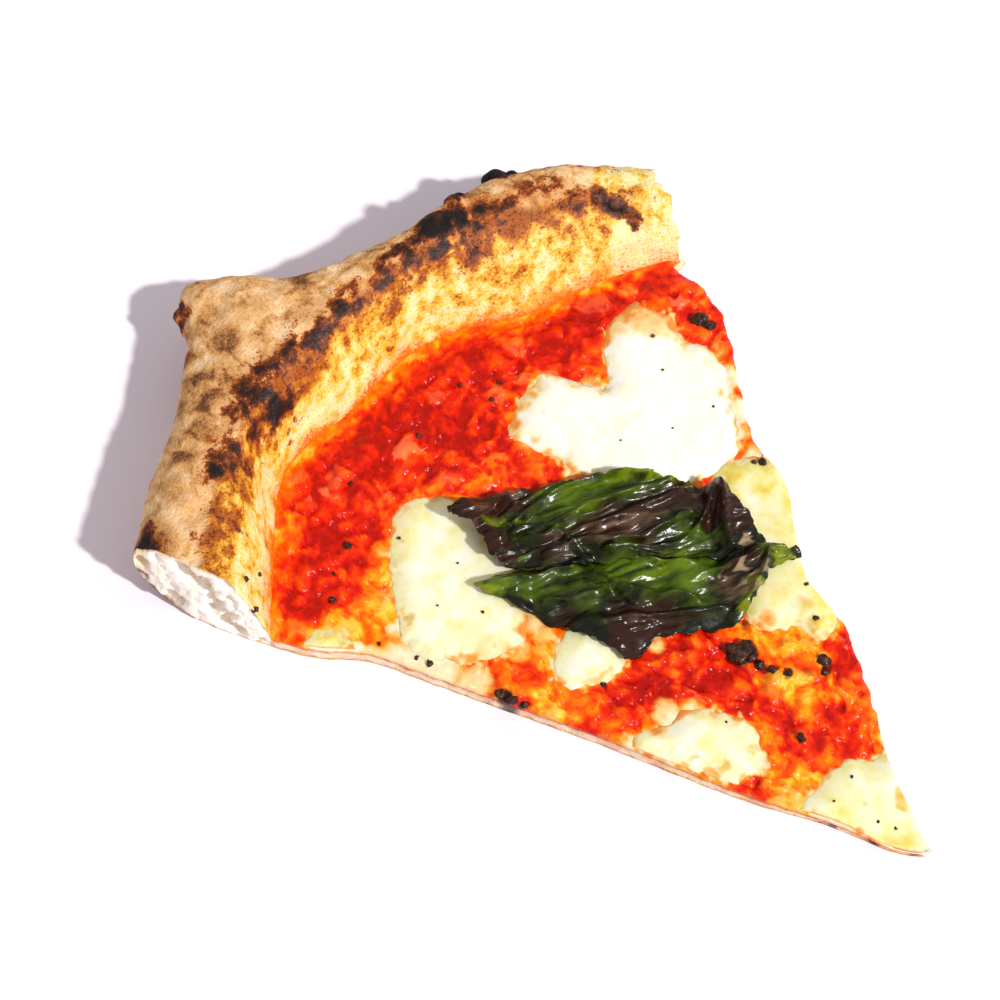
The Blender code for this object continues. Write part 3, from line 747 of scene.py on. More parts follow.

# %% [markdown]
# ## Tomato sauce: the finish
# Peeled tomatoes crushed by hand and only cooked by the oven: wet red flesh in lumps and strands, deep red
# where it is thick, orange where oil and milk ran into it, and cream where a film of cheese lies over it.
# One mask is the tone, from deep red at 0 to straw at 1, and a ramp turns it into colour. The sauce is a
# watery gel full of light-scattering flesh, so it has a little subsurface light and a glossy, wet skin
# with the IOR of water.
# The tone also carries painted shade, deeper red in the crevices and folds, and painted light on raised lumps.

# %% Material: crushed tomato


def crushed_tomato():
    """The tone's ramp, then pale flesh, a film of milk and scorched skin laid over it by their masks."""
    material, tree, place = new_material("crushed_tomato")
    mask = {n: add_node(tree, "ShaderNodeAttribute", attribute_name=n, get="Fac")
            for n in ("tone", "flesh", "film", "burnt")}
    # Pulp is torn cells and seeds' jelly, one to two millimetres across.
    pulp = add_node(tree, "ShaderNodeTexNoise", {
        "Vector": place, "Scale": per_metre(1.9), "Detail": 3.0, "Distortion": 0.5})
    fine = add_node(tree, "ShaderNodeMath", {0: pulp, 1: 0.64, 2: -0.32}, operation="MULTIPLY_ADD")
    tone = add_node(tree, "ShaderNodeMath", {0: fine, 1: mask["tone"]}, operation="ADD")
    paint = add_node(tree, "ShaderNodeValToRGB", {"Fac": tone}, stops=(
        (0.0, "#A80A00"), (0.14, "#CA1400"), (0.3, "#DE2400"), (0.45, "#EA4000"), (0.6, "#F25E00"),
        (0.76, "#F67C00"), (0.9, "#F89E10"), (1.0, "#FAC048")))
    tone = add_node(tree, "ShaderNodeMath", {0: fine, 1: 0.8, 2: mask["flesh"]}, operation="MULTIPLY_ADD")
    share = add_node(tree, "ShaderNodeMapRange", {"Value": tone, "From Min": 0.35, "From Max": 1.0, "To Max": 0.75},
                     interpolation_type="SMOOTHSTEP")
    paint = add_node(tree, "ShaderNodeMix", {0: share, 6: paint, 7: colour("#EE7048")}, get=2, data_type="RGBA")
    tone = add_node(tree, "ShaderNodeMath", {0: fine, 1: 0.7, 2: mask["film"]}, operation="MULTIPLY_ADD")
    cream = add_node(tree, "ShaderNodeValToRGB", {"Fac": tone}, stops=(
        (0.2, "#F08C18"), (0.42, "#F2AC40"), (0.66, "#F1C584"), (1.0, "#F3DFBE")))
    share = add_node(tree, "ShaderNodeMapRange", {"Value": tone, "From Min": 0.15, "From Max": 0.7},
                     interpolation_type="SMOOTHSTEP")
    paint = add_node(tree, "ShaderNodeMix", {0: share, 6: paint, 7: cream}, get=2, data_type="RGBA")
    tone = add_node(tree, "ShaderNodeMath", {0: fine, 1: 0.9, 2: mask["burnt"]}, operation="MULTIPLY_ADD")
    share = add_node(tree, "ShaderNodeMapRange", {"Value": tone, "From Min": 0.25, "From Max": 0.7})
    paint = add_node(tree, "ShaderNodeMix", {0: share, 6: paint, 7: colour("#36100A")}, get=2, data_type="RGBA")
    relief = add_node(tree, "ShaderNodeBump", {"Height": pulp, "Distance": 0.45 * MM, "Strength": 0.7})
    # The film of juice bulges over grains of pulp, and each bulge has its own small highlight.
    bulges = add_node(tree, "ShaderNodeTexNoise", {"Vector": place, "Scale": per_metre(2.1), "Detail": 0.5})
    wet = add_node(tree, "ShaderNodeBump", {"Height": bulges, "Distance": 2.0 * MM, "Normal": relief})
    shader = add_node(tree, "ShaderNodeBsdfPrincipled", {
        "Base Color": paint, "Roughness": 0.4, "Normal": relief, "IOR": 1.36, "Specular IOR Level": 0.1,
        "Subsurface Weight": 0.05, "Subsurface Radius": (2.4, 0.5, 0.2), "Subsurface Scale": 0.5 * MM,
        "Coat Weight": 0.42, "Coat Roughness": 0.19, "Coat IOR": 1.4, "Coat Normal": wet})
    return finish_material(material, shader)


tomato_finish = crushed_tomato()
print("material:", tomato_finish.name, len(tomato_finish.node_tree.nodes), "nodes")

# %% [markdown]
# ## Tomato sauce: the form
# The sauce is one layer from near the tip to the rim and from cut to cut, about 1 mm thick. Its relief is
# lumps of flesh 2 to 5 mm across, each a cell of the cell noise raised to a dome, grains of 2 mm made the
# same way, and wet strands between them. The points are bent by a slow noise first, so that lumps and strands flow and
# never line up. Under the cheese and its film the sauce lies low and smooth.

# %% Where the sauce is red, oily, veiled, fleshy or scorched
# (x, y, radius, strength)
RED = (
    (-47, 115, 7, 0.2), (-46, 124, 5, 0.18), (-36, 119, 6, 0.16), (-25, 134, 7, 0.34), (-14, 135, 9, 0.22),
    (-2, 131, 11, 0.24), (11, 134, 8, 0.22), (22, 135, 6, 0.18), (3, 122, 6, 0.2), (6, 115, 3.4, 0.3),
    (-8, 118, 6, 0.14), (30, 127, 8, 0.26), (42, 125, 9, 0.5), (57, 122, 7, 0.26), (56, 112, 6, 0.06),
    (-20, 128, 8, 0.2), (-17, 57.5, 5.5, 0.3), (-11.5, 57, 4.4, 0.28), (-5.5, 52, 3.6, 0.3),
    (-1.5, 43.5, 2.8, 0.3), (8.5, 30, 3.6, 0.36), (1.5, 29, 2.2, 0.2), (4.5, 24.5, 3, 0.14),
    (20.6, 40, 2.4, 0.26), (-3, 60, 4, 0.14), (15, 36.4, 2.2, 0.14), (0.5, 35.6, 2.4, 0.16), (18, 122, 5, 0.18),
)
OILY = (
    (-40, 104, 9, 0.86), (-33, 109, 6, 0.56), (-46, 107, 6, 0.46), (-35, 114, 4, 0.3), (-42, 98, 5, 0.6),
    (-27, 76, 8, 0.34), (-20, 78, 6, 0.26), (-28, 68, 7, 0.62), (-25, 64, 4, 0.4), (-31, 65, 4, 0.4),
    (-22, 73, 4, 0.4), (11, 46, 9, 0.5), (13, 41, 6, 0.4), (7, 38, 7, 0.54), (4, 43, 4, 0.34), (5, 33.5, 4, 0.4),
    (8, 56, 5, 0.26), (12, 52, 5, 0.3), (14, 33, 5, 0.3), (17, 31, 4, 0.3), (-7, 29, 7, 0.34),
    (-3, 36, 4, 0.34), (-2, 26, 5, 0.36), (-10, 25, 4, 0.4), (11, 24, 4, 0.3), (-1, 48, 3, 0.14),
    (-1, 56, 4, 0.16), (6, 104, 7, 0.28), (0, 110, 7, 0.24), (-8, 112, 5, 0.26), (-22, 118, 5, 0.22),
    (29, 113.5, 5, 0.4), (33, 117, 5, 0.26), (36, 82, 5, 0.34), (-14, 139, 5, 0.3), (2, 142, 6, 0.3),
    (-24, 140, 4, 0.26), (14, 140, 5, 0.2), (-45, 122, 5, 0.14), (-38, 130, 5, 0.24), (45, 130, 5, 0.3),
    (30, 135, 5, 0.12), (24, 44, 4, 0.3), (-13, 116, 4, 0.2),
)
VEILED = (
    (-37.5, 108, 3, 0.35),
    (-42, 93, 8.0, 0.9), (-39, 87, 8.0, 0.9), (-46, 98, 6.0, 0.75), (-35, 81, 6.0, 0.7),
    (-50, 105, 5.0, 0.6), (-24, 80, 4.0, 0.5), (-38, 99, 4.0, 0.5), (-35, 106, 3.4, 0.4),
    (-14, 52, 4.4, 0.7), (-10, 49.5, 3.0, 0.6), (-19, 79, 3.4, 0.5), (-18, 82, 4, 0.6), (-23, 53, 3, 0.5),
    (-5, 63.6, 3.4, 0.6), (-13, 78, 3.4, 0.5), (44, 88, 5, 0.9), (27.5, 113, 4, 0.5), (49, 95, 4.4, 0.8), (53, 101, 3, 0.35),
    (41, 84, 3.4, 0.5), (14, 54, 4.4, 0.7), (39, 79, 3.4, 0.6), (-10, 48, 2.6, 0.5), (-9, 33, 3, 0.6),
    (-28, 113, 2.6, 0.5), (45, 130.5, 4, 0.2), (-16, 138, 3, 0.25), (10, 101, 2.6, 0.5), (12, 21, 3, 0.5),
    (-27, 63, 2.4, 0.35), (-8, 24.5, 3, 0.4),
)
FLESH = (
    (-10, 126, 4.6, 0.7), (-29.5, 131, 2.8, 0.8), (-15, 136, 2.6, 0.8), (24, 120, 2.8, 1.1), (1, 120, 1.8, 1.0),
    (53, 104, 4.0, 1.0), (55, 113, 5.4, 1.3), (-33.5, 119.5, 1.8, 0.9), (-10, 48, 2.4, 0.7), (-3, 64, 2.6, 0.9),
    (36, 131.5, 4, 0.6), (30, 134, 4, 0.5), (17, 126, 4, 0.4), (-22, 126, 3, 0.5), (3, 28.5, 2.4, 0.8),
    (-46, 109.5, 2.4, 0.7), (6.5, 21.5, 1.8, 0.8), (-7.5, 50, 2.4, 0.7), (5, 34, 2, 0.5), (21, 38, 2.6, 0.7),
    (-1, 59.5, 2.6, 0.5), (4, 57, 2.0, 0.5),
)
BURNT = (
    (4.5, 50.5, 3.4, 0.9), (6.0, 45.5, 1.6, 0.6), (7.5, 42.0, 1.6, 0.5), (14.2, 38.0, 2.2, 0.7),
    (0.0, 31.4, 1.4, 0.8),
    (-33.0, 74.6, 2.4, 0.9), (-31.7, 71.2, 1.2, 0.8), (55.0, 107.0, 2.0, 0.5), (12.0, 124.4, 1.5, 0.35),
    (15.6, 126, 1.6, 0.4), (11.0, 39.6, 2.4, 0.4), (9.4, 34.6, 1.6, 0.35), (-41.5, 112, 1.6, 0.45), (-32.5, 119, 1.8, 0.5), (-4.8, 128.2, 1.0, 0.4),
    (1, 121.5, 1.2, 0.0), (-18.2, 63.6, 1.0, 0.7), (38.4, 76.5, 1.6, 0.9), (10.0, 54.4, 1.6, 0.6),
)
# Folds of tomato skin as (depth, half width, points along the line).
FOLDS = (
    (0.7, 0.8, ((14, 122.6), (18, 124.4), (22, 127.5), (25.5, 131.4))),
    (0.6, 0.7, ((36, 121.2), (42, 120.6), (48, 121.0), (52, 120.2))),
    (0.5, 0.9, ((-8, 55.4), (-5, 50), (-3, 46), (2, 42.4))),
)

# %% Build the sauce
SAUCE_ROWS, SAUCE_COLUMNS = 232, 208
LUMP, LUMP_HEIGHT, GRAIN, GRAIN_HEIGHT, STRAND_HEIGHT = 4.6, 1.15, 2.1, 0.5, 0.35


def sauce_surface(x, y):
    """Top of the sauce, and what its colour needs to know: the relief's share, lumps, grains and folds.

    A lump or a grain is a dome round the middle of its cell; the strands are ridges of noise.
    """
    p = np.stack([x, y, 0 * x], -1)
    bent = p + 2.0 * np.stack([noise(p, 6.0, 71), noise(p, 6.0, 72), 0 * x], -1)
    far, lump = cells(bent, LUMP, seed=61)
    gap, grain = cells(bent, GRAIN, seed=85)
    lumps = ease((0.75 - far) / 0.6) * (0.5 + 0.5 * lump) - 0.35
    grains = ease((0.75 - gap) / 0.5) * (0.3 + 0.7 * grain) - 0.35
    strands = ridged(bent * np.array([1.0, 1.35, 1.0]), 3.4, 2, seed=63) - 0.6
    share = LUMP_HEIGHT * lumps + GRAIN_HEIGHT * grains + STRAND_HEIGHT * strands
    share = share + 0.3 * fractal(p, 7.0, 2, seed=66)
    away = outside_cheese(x, y)
    r, angle = to_polar(x, y)
    shore = smooth_through(RIM_FOOT, angle) - r
    free = ease((away + 0.3) / 2.6) * ease((shore + 0.5) / 3.6) * (1 - 0.75 * np.minimum(blob(x, y, VEILED), 1))
    folded = 0 * x
    for depth, width, points in FOLDS:
        off = np.abs(y - smooth_through(points, x)) / width
        ends = ease((x - points[0][0]) / 2.0) * ease((points[-1][0] - x) / 2.0)
        folded = np.maximum(folded, depth * ends * np.exp(-off ** 2))
    level = sauce_level(x, y) + 0.12 + 0.75 * share * free - 0.2 * (1 - free) - folded
    return level, dict(share=share * free, lump=lump, grain=grain, gap=gap, folded=folded)


def sauce_masks(x, y, form, s):
    """Tone, flesh, film and burnt of the sauce: marks, nearness to cheese and rim, noise, and painted light and shade
    from the relief.
    """
    p = np.stack([x, y, 0 * x], -1)
    slow, blotch, mottle = fractal(p, 10.0, 2, seed=81), fractal(p, 4.6, 2, seed=82), fractal(p, 1.9, 2, seed=83)
    away = outside_cheese(x, y) + 0.9 * blotch
    r, angle = to_polar(x, y)
    shore = smooth_through(RIM_FOOT, angle) - r + 1.8 * slow + 1.4 * blotch
    edge = (1 - np.abs(s)) * np.radians(HALF_ANGLE) * r
    tone = 0.4 + 0.1 * slow + 0.15 * blotch + 0.06 * mottle
    # Gaps between grains, low places and skin folds are painted darker, a painted shade in the crevices, and raised
    # lumps lighter, a painted light.
    tone = tone + 0.28 * (form["lump"] - 0.5) + 0.2 * (form["grain"] - 0.5) - 0.14 * ease((form["gap"] - 0.45) / 0.3)
    tone = tone - 0.18 * ease((0.1 - form["share"]) / 0.5) + 0.12 * form["share"] - 0.35 * form["folded"]
    # Near the tip the sauce is thin and its oil shows.
    tone = tone + 0.07 * ease((90.0 - r) / 20.0)
    tone = tone + 0.75 * blob(x + slow, y + slow, OILY) - 0.85 * blob(x + slow, y + slow, RED)
    tone = tone + 0.3 * np.exp(-np.maximum(away, 0) / 2.8) + 0.36 * np.exp(-(np.maximum(shore, 0) / 3.4) ** 2)
    tone = tone + 0.12 * np.exp(-edge / 2.5)
    film = 0.9 * ease((2.0 + 2.2 * mottle - away) / 3.8) + blob(x + 0.8 * blotch, y + 0.8 * blotch, VEILED)
    flesh = 0.6 * ease((form["lump"] - 0.76) / 0.1) + blob(x + 2.0 * blotch, y + 2.4 * mottle, FLESH)
    flesh = flesh * ease((form["share"] + 0.15) / 0.35)
    burnt = blob(x + 0.5 * mottle, y + 0.5 * blotch, BURNT)
    return dict(tone=np.clip(tone, 0, 1), flesh=np.clip(flesh, 0, 1), film=np.clip(film, 0, 1), burnt=burnt)


def build_sauce():
    """The layer of sauce between its two cuts, rounded at its border."""
    s = np.linspace(-1, 1, SAUCE_COLUMNS + 1)[None, :]
    foot = smooth_through(RIM_FOOT, s * HALF_ANGLE)
    r = SAUCE_START + (foot + 0.8 - SAUCE_START) * np.linspace(0, 1, SAUCE_ROWS + 1)[:, None]
    x, y = from_apex(r, cut_share(r, s))
    z, form = sauce_surface(x, y)
    rounded = ease((1 - np.abs(s)) * np.radians(HALF_ANGLE) * r / 0.8)
    upper = np.stack([x, y, z - 0.4 * (1 - rounded)], -1)
    lower = np.stack([x, y, base_top(r, s * HALF_ANGLE) - 0.15 + 0 * x], -1)
    points, faces = closed_sheet(upper, lower)
    masks = {n: np.tile(v.ravel(), 2) for n, v in sauce_masks(x, y, form, s).items()}
    return make_piece("tomato_layer", points, faces, tomato_finish, ["tomato_sauce"], masks)


sauce = build_sauce()

# %% [markdown]
# ## Mozzarella: the finish
# Fresh mozzarella melts to a white, springy mass that lets light in, so it glows at its thin edges. It is
# whiter than anything else here, creamy yellow where its fat collects, peach where the tomato shows
# through it, and dotted with oily yellow spots.

# %% Material: melted mozzarella


def melted_mozzarella():
    """White curd that turns yellow with fat and peach with tomato, by masks and soft noise."""
    material, tree, place = new_material("melted_mozzarella")
    mask = {n: add_node(tree, "ShaderNodeAttribute", attribute_name=n, get="Fac") for n in ("rim", "fat", "spot")}
    # Curds of two to four millimetres stay faintly visible in the melt.
    cloud = add_node(tree, "ShaderNodeTexNoise", {"Vector": place, "Scale": per_metre(3.0), "Detail": 4.0})
    fine = add_node(tree, "ShaderNodeMath", {0: cloud, 1: 0.7, 2: -0.35}, operation="MULTIPLY_ADD")
    tone = add_node(tree, "ShaderNodeMath", {0: fine, 1: mask["fat"]}, operation="ADD")
    paint = add_node(tree, "ShaderNodeValToRGB", {"Fac": tone}, stops=(
        (0.0, "#F8F6EC"), (0.35, "#F5F0D6"), (0.62, "#F0E6A8"), (0.84, "#E8D060"), (1.0, "#DCB430")))
    tone = add_node(tree, "ShaderNodeMath", {0: fine, 1: mask["rim"]}, operation="ADD")
    peach = add_node(tree, "ShaderNodeValToRGB", {"Fac": tone}, stops=(
        (0.2, "#F7EDD4"), (0.5, "#F4DAA4"), (0.78, "#F2B468"), (1.0, "#EE8C3C")))
    share = add_node(tree, "ShaderNodeMapRange", {"Value": tone, "From Min": 0.1, "From Max": 0.55},
                     interpolation_type="SMOOTHSTEP")
    paint = add_node(tree, "ShaderNodeMix", {0: share, 6: paint, 7: peach}, get=2, data_type="RGBA")
    tone = add_node(tree, "ShaderNodeMath", {0: fine, 1: mask["spot"]}, operation="ADD")
    share = add_node(tree, "ShaderNodeMapRange", {"Value": tone, "From Min": 0.3, "From Max": 0.9, "To Max": 0.85},
                     interpolation_type="SMOOTHSTEP")
    paint = add_node(tree, "ShaderNodeMix", {0: share, 6: paint, 7: colour("#D0A628")}, get=2, data_type="RGBA")
    relief = add_node(tree, "ShaderNodeBump", {"Height": cloud, "Distance": 0.3 * MM, "Strength": 0.4})
    shader = add_node(tree, "ShaderNodeBsdfPrincipled", {
        "Base Color": paint, "Roughness": 0.34, "Normal": relief, "IOR": 1.42, "Specular IOR Level": 0.4,
        "Subsurface Weight": 0.45, "Subsurface Radius": (2.8, 1.9, 1.0), "Subsurface Scale": 1.2 * MM,
        "Coat Weight": 0.15, "Coat Roughness": 0.2})
    return finish_material(material, shader)


mozzarella_finish = melted_mozzarella()
print("material:", mozzarella_finish.name, len(mozzarella_finish.node_tree.nodes), "nodes")

# %% [markdown]
# ## Mozzarella: the form
# A pool is a square grid bent onto a disc, and the disc stretched to the pool's outline, so there is no
# pinched point in its middle. Its top is a low dome that runs out nearly level with the sauce and dips
# just under it past the edge, so that the two melt into each other. The outline and the top get soft
# noise, because curd melts unevenly.

# %% Build the pools
POOL_STEPS = {"mozzarella_large": 140, "mozzarella_left": 110, "mozzarella_right": 110}
SMALL_POOL_STEPS = 70
SKIRT, EDGE_WIDTH, EDGE_POINTS = 1.12, 5.5, 400
FAT = {"mozzarella_large": 0.06, "mozzarella_left": 0.38, "mozzarella_small": 0.36, "mozzarella_low": 0.38,
       "mozzarella_tip": 0.48, "mozzarella_right": 0.62, "mozzarella_drip": 0.6}
# Oily yellow spots and places where tomato shows through, as (x, y, radius, strength).
SPOTS = (
    (-17, 41.6, 1.8, 0.9), (-14, 37, 2.2, 0.9), (-19, 45, 1.6, 0.6), (-8, 36, 2.2, 0.8), (-10, 38.5, 1.6, 0.5),
    (-1, 15, 1.4, 0.8), (7.5, 18, 2.4, 0.8), (-2, 11.5, 1.0, 0.4), (10.6, 112, 2.4, 0.8), (14.5, 114.5, 1.8, 0.6),
    (28.6, 109.6, 2.4, 0.9), (33, 113, 1.6, 0.5), (43, 116.4, 2.2, 0.6), (42.6, 89, 2.4, 0.8), (39, 86, 2.2, 0.7),
    (46.6, 93, 1.8, 0.5), (36, 76, 1.8, 0.5), (20, 49, 3.4, 0.8), (19.6, 45.6, 2.4, 0.9), (24, 56, 2.4, 0.5),
    (29, 70, 1.8, 0.4), (-35, 88, 2.6, 0.6), (-24, 112.6, 1.6, 0.6), (-34.5, 99, 2.0, 0.9), (-28, 110, 2.4, 0.6),
    (-37, 95, 1.8, 0.5), (-31, 86, 2.0, 0.5), (-14, 75, 1.6, 0.5), (-20, 74, 1.6, 0.5), (4.4, 10.4, 2.2, 0.9),
    (2.8, 5.6, 1.8, 0.7), (-48, 103, 2.6, 0.7), (-51, 107, 1.6, 0.4), (-47, 107, 2.0, 0.6), (31, 78, 2.0, 0.5),
    (38, 73, 2.0, 0.5), (-23, 83, 2.0, 0.5), (-19, 86, 1.8, 0.4), (0, 1.5, 1.6, 0.3), (-7, 21, 1.8, 0.6),
)
PEACH = (
    (48, 116, 10, 0.66), (42, 119, 7, 0.5), (49.5, 109, 3.4, 0.5), (-28, 84, 7, 0.5), (-20, 84, 5, 0.4),
    (-27, 90, 6, 0.2), (-34, 89, 5, 0.3), (49, 101, 2.4, 0.4), (-31, 85, 4, 0.4), (-36, 90, 3, 0.35),
    (-22, 117, 4, 0.4), (-12, 51, 4.4, 0.6), (-17, 51.5, 3, 0.5), (14, 52, 3.4, 0.7), (-6, 42, 2.4, 0.5),
    (40, 79, 3.4, 0.6), (-16, 76, 3, 0.3), (20, 119.5, 3.4, 0.3), (18, 57, 5, 0.3), (-1.8, 3.5, 1.6, 0.4),
    (-5.4, 12, 1.6, 0.4), (-8, 20, 1.6, 0.4), (-46, 100.6, 2.4, 0.5), (38, 118, 3.4, 0.5), (46, 89, 5, 0.5),
    (43, 85, 4, 0.5), (24, 118, 4, 0.3), (12, 116, 4, 0.3),
)


def pool_surface(name, x, y, share, inland):
    """Top of a pool: a dome from the edge's width inland, dipping past the edge."""
    height = MOZZARELLA[name][1]
    p = np.stack([x, y, 0 * x], -1)
    dome = ease((inland + 1.0) / EDGE_WIDTH) ** 0.8
    uneven = 0.16 * fractal(p, 11.0, 3, seed=91)
    return sauce_level(x, y) - 0.05 + height * dome + uneven * dome - 0.7 * ease((share - 1.0) / 0.12)


def edge_wave(turn, reach):
    """Millimetres by which noise moves a pool's edge in or out."""
    ring = np.stack([np.cos(turn) * reach, np.sin(turn) * reach, 0 * turn], -1)
    return 1.1 * fractal(ring, 6.0, 3, seed=95, keep=0.6)


def distance_inland(name, x, y, share):
    """Distance to the nearest of many points on a pool's wavy edge, below 0 outside it."""
    turn = np.linspace(0, 2 * np.pi, EDGE_POINTS + 1)
    reach = edge_radius(name, turn)
    reach = reach + edge_wave(turn, reach)
    edge_x, edge_y = MOZZARELLA[name][0][0] + reach * np.cos(turn), MOZZARELLA[name][0][1] + reach * np.sin(turn)
    far = np.min(np.hypot(x[..., None] - edge_x, y[..., None] - edge_y), -1)
    return np.where(share < 1, far, -far)


def build_pool(name):
    """One pool of melted mozzarella."""
    middle = MOZZARELLA[name][0]
    steps = np.linspace(-1, 1, POOL_STEPS.get(name, SMALL_POOL_STEPS) + 1)
    u, v = np.meshgrid(steps, steps)
    disc_x, disc_y = u * np.sqrt(1 - v * v / 2), v * np.sqrt(1 - u * u / 2)
    share = np.hypot(disc_x, disc_y) * SKIRT
    turn = np.arctan2(disc_y, disc_x)
    reach = edge_radius(name, turn)
    reach = reach + share * edge_wave(turn, reach)
    x, y = keep_inside(middle[0] + disc_x * SKIRT * reach, middle[1] + disc_y * SKIRT * reach, 0.15)
    inland = distance_inland(name, x, y, share)
    z = pool_surface(name, x, y, share, inland)
    upper = np.stack([x, y, z], -1)
    lower = np.stack([x, y, np.minimum(sauce_level(x, y) - 0.5, z - 0.05)], -1)
    p = np.stack([x, y, 0 * x], -1)
    ripple, slow = fractal(p, 4.0, 3, seed=97), fractal(p, 12.0, 2, seed=98)
    rim = 0.85 * ease((1.8 + 2.6 * ripple - inland) / 3.6) + blob(x + ripple, y + slow, PEACH)
    fat = FAT[name] + 0.2 * ripple + 0.14 * slow + 0.25 * np.exp(-np.maximum(inland, 0) / 2.5)
    masks = dict(rim=np.clip(rim, 0, 1), fat=np.clip(fat, 0, 1),
                 spot=0.8 * blob(x + 1.6 * ripple, y + 1.4 * slow + 0.8 * ripple, SPOTS))
    points, faces = closed_sheet(upper, lower)
    masks = {n: np.tile(values.ravel(), 2) for n, values in masks.items()}
    return make_piece("melted_" + name, points, faces, mozzarella_finish, [name], masks)


for pool in MOZZARELLA:
    build_pool(pool)

# %% [markdown]
# ## Basil: the finish
# Basil leaves are soft and puffed between their veins. In the oven they wilt at once: oil wets them, so
# they turn dark, glossy and a little see-through, the thin places bake to purple-black, and only the
# thick parts near the midrib stay green. A wet leaf is a mirror-like film over a dark body, which is a
# Principled coat with low roughness over a broader, rougher base.
# Its greyish sheen of the sky is also painted into the colour, and the valleys between its folds are painted darker,
# as painted shade.

# %% Material: wilted basil
# The leaf's veins lean this many radians from the X axis, towards the tip of the slice.
LEAN = 0.4


def wilted_basil():
    """Green by its marks with painted shade in the folds' valleys, then olive, purple-black, a painted sheen and pale
    places by their masks.
    """
    material, tree, place = new_material("wilted_basil")
    mask = {n: add_node(tree, "ShaderNodeAttribute", attribute_name=n, get="Fac")
            for n in ("bright", "purple", "painted_sheen", "olive", "pale")}
    # The blade is mottled between veins one to three millimetres apart.
    cloud = add_node(tree, "ShaderNodeTexNoise", {
        "Vector": place, "Scale": per_metre(2.0), "Detail": 5.0, "Distortion": 0.6})
    fine = add_node(tree, "ShaderNodeMath", {0: cloud, 1: 0.8, 2: -0.4}, operation="MULTIPLY_ADD")
    tone = add_node(tree, "ShaderNodeMath", {0: fine, 1: mask["bright"]}, operation="ADD")
    paint = add_node(tree, "ShaderNodeValToRGB", {"Fac": tone}, stops=(
        (0.0, "#0C1002"), (0.2, "#1A2202"), (0.44, "#303F04"), (0.72, "#425806"), (1.0, "#586E0A")))
    # The sheen mask paints a greyish-brown reflection of the sky onto the leaf: a painted reflection.
    for name, code, low, high in (("olive", "#6C7A0A", 0.2, 0.8), ("purple", "#2C120A", 0.15, 0.8),
                                  ("painted_sheen", "#5E4636", 0.35, 1.2), ("pale", "#9C8468", 0.3, 0.9)):
        tone = add_node(tree, "ShaderNodeMath", {0: fine, 1: mask[name]}, operation="ADD")
        share = add_node(tree, "ShaderNodeMapRange", {"Value": tone, "From Min": low, "From Max": high},
                         interpolation_type="SMOOTHSTEP")
        paint = add_node(tree, "ShaderNodeMix", {0: share, 6: paint, 7: colour(code)}, get=2, data_type="RGBA")
    relief = add_node(tree, "ShaderNodeBump", {"Height": cloud, "Distance": 0.3 * MM, "Strength": 0.4})
    # Oil gathers in seams between the small veins, so its highlights are drawn out along the leaf.
    along = add_node(tree, "ShaderNodeMapping", {
        "Vector": place, "Rotation": (0, 0, -LEAN), "Scale": (3.6, 1.0, 1.0)}, vector_type="TEXTURE")
    seams = add_node(tree, "ShaderNodeTexNoise", {"Vector": along, "Scale": per_metre(2.0), "Detail": 0.5})
    oil = add_node(tree, "ShaderNodeBump", {"Height": seams, "Distance": 1.6 * MM, "Normal": relief})
    shader = add_node(tree, "ShaderNodeBsdfPrincipled", {
        "Base Color": paint, "Roughness": 0.4, "Normal": relief, "IOR": 1.43, "Specular IOR Level": 0.1,
        "Subsurface Weight": 0.06, "Subsurface Radius": (0.3, 0.6, 0.1), "Subsurface Scale": 1.0 * MM,
        "Coat Weight": 0.5, "Coat Roughness": 0.2, "Coat IOR": 1.45, "Coat Normal": oil})
    return finish_material(material, shader)


basil_finish = wilted_basil()
print("material:", basil_finish.name, len(basil_finish.node_tree.nodes), "nodes")

# %% [markdown]
# ## Basil: the form
# Each leaf is a sheet between its two margins, with one parameter along it and one across. It drapes on
# the cheese and rises into folds. A fold is a ridge along a smooth line: its height falls off with the
# distance from that line, as a sharp crease or as a round pillow. The lines are placed as the real
# creases run, and bent by noise. Ridged noise stretched along the leaf adds the small crinkles between.

# %% Folds of the basil
LEAF_THICKNESS = 0.35
# Direction of the main veins, how far strokes of colour reach along it, and the height of the crinkles.
ALONG, STROKE, CRINKLE = (np.cos(LEAN), -np.sin(LEAN)), 3.4, 0.26
CREASE_HEIGHT, CREASE_SPREAD = 1.6, 1.1
LOWER_LEAF_FAR = ((-21.6, 94.6), (-12, 91), (-2, 86), (7, 79), (15, 73), (22, 67), (27, 58))
LOWER_LEAF_NEAR = (
    (-21.8, 94.1), (-17.6, 82), (-14, 73), (-11, 64), (-2, 63), (7, 56), (15, 56.5), (21, 58), (27, 56),
)
UPPER_LEAF_FAR = (
    (-14.8, 109.8), (-9, 108.6), (-2.5, 105), (5, 100.4), (12, 96.2), (18, 91), (22.6, 84), (25.4, 80.5), (28, 79),
)
UPPER_LEAF_NEAR = (
    (-15.0, 109.3), (-13.6, 103), (-15.4, 97.5), (-13, 90.5), (-6, 85), (2, 79), (9, 73), (16, 67), (24, 62),
)
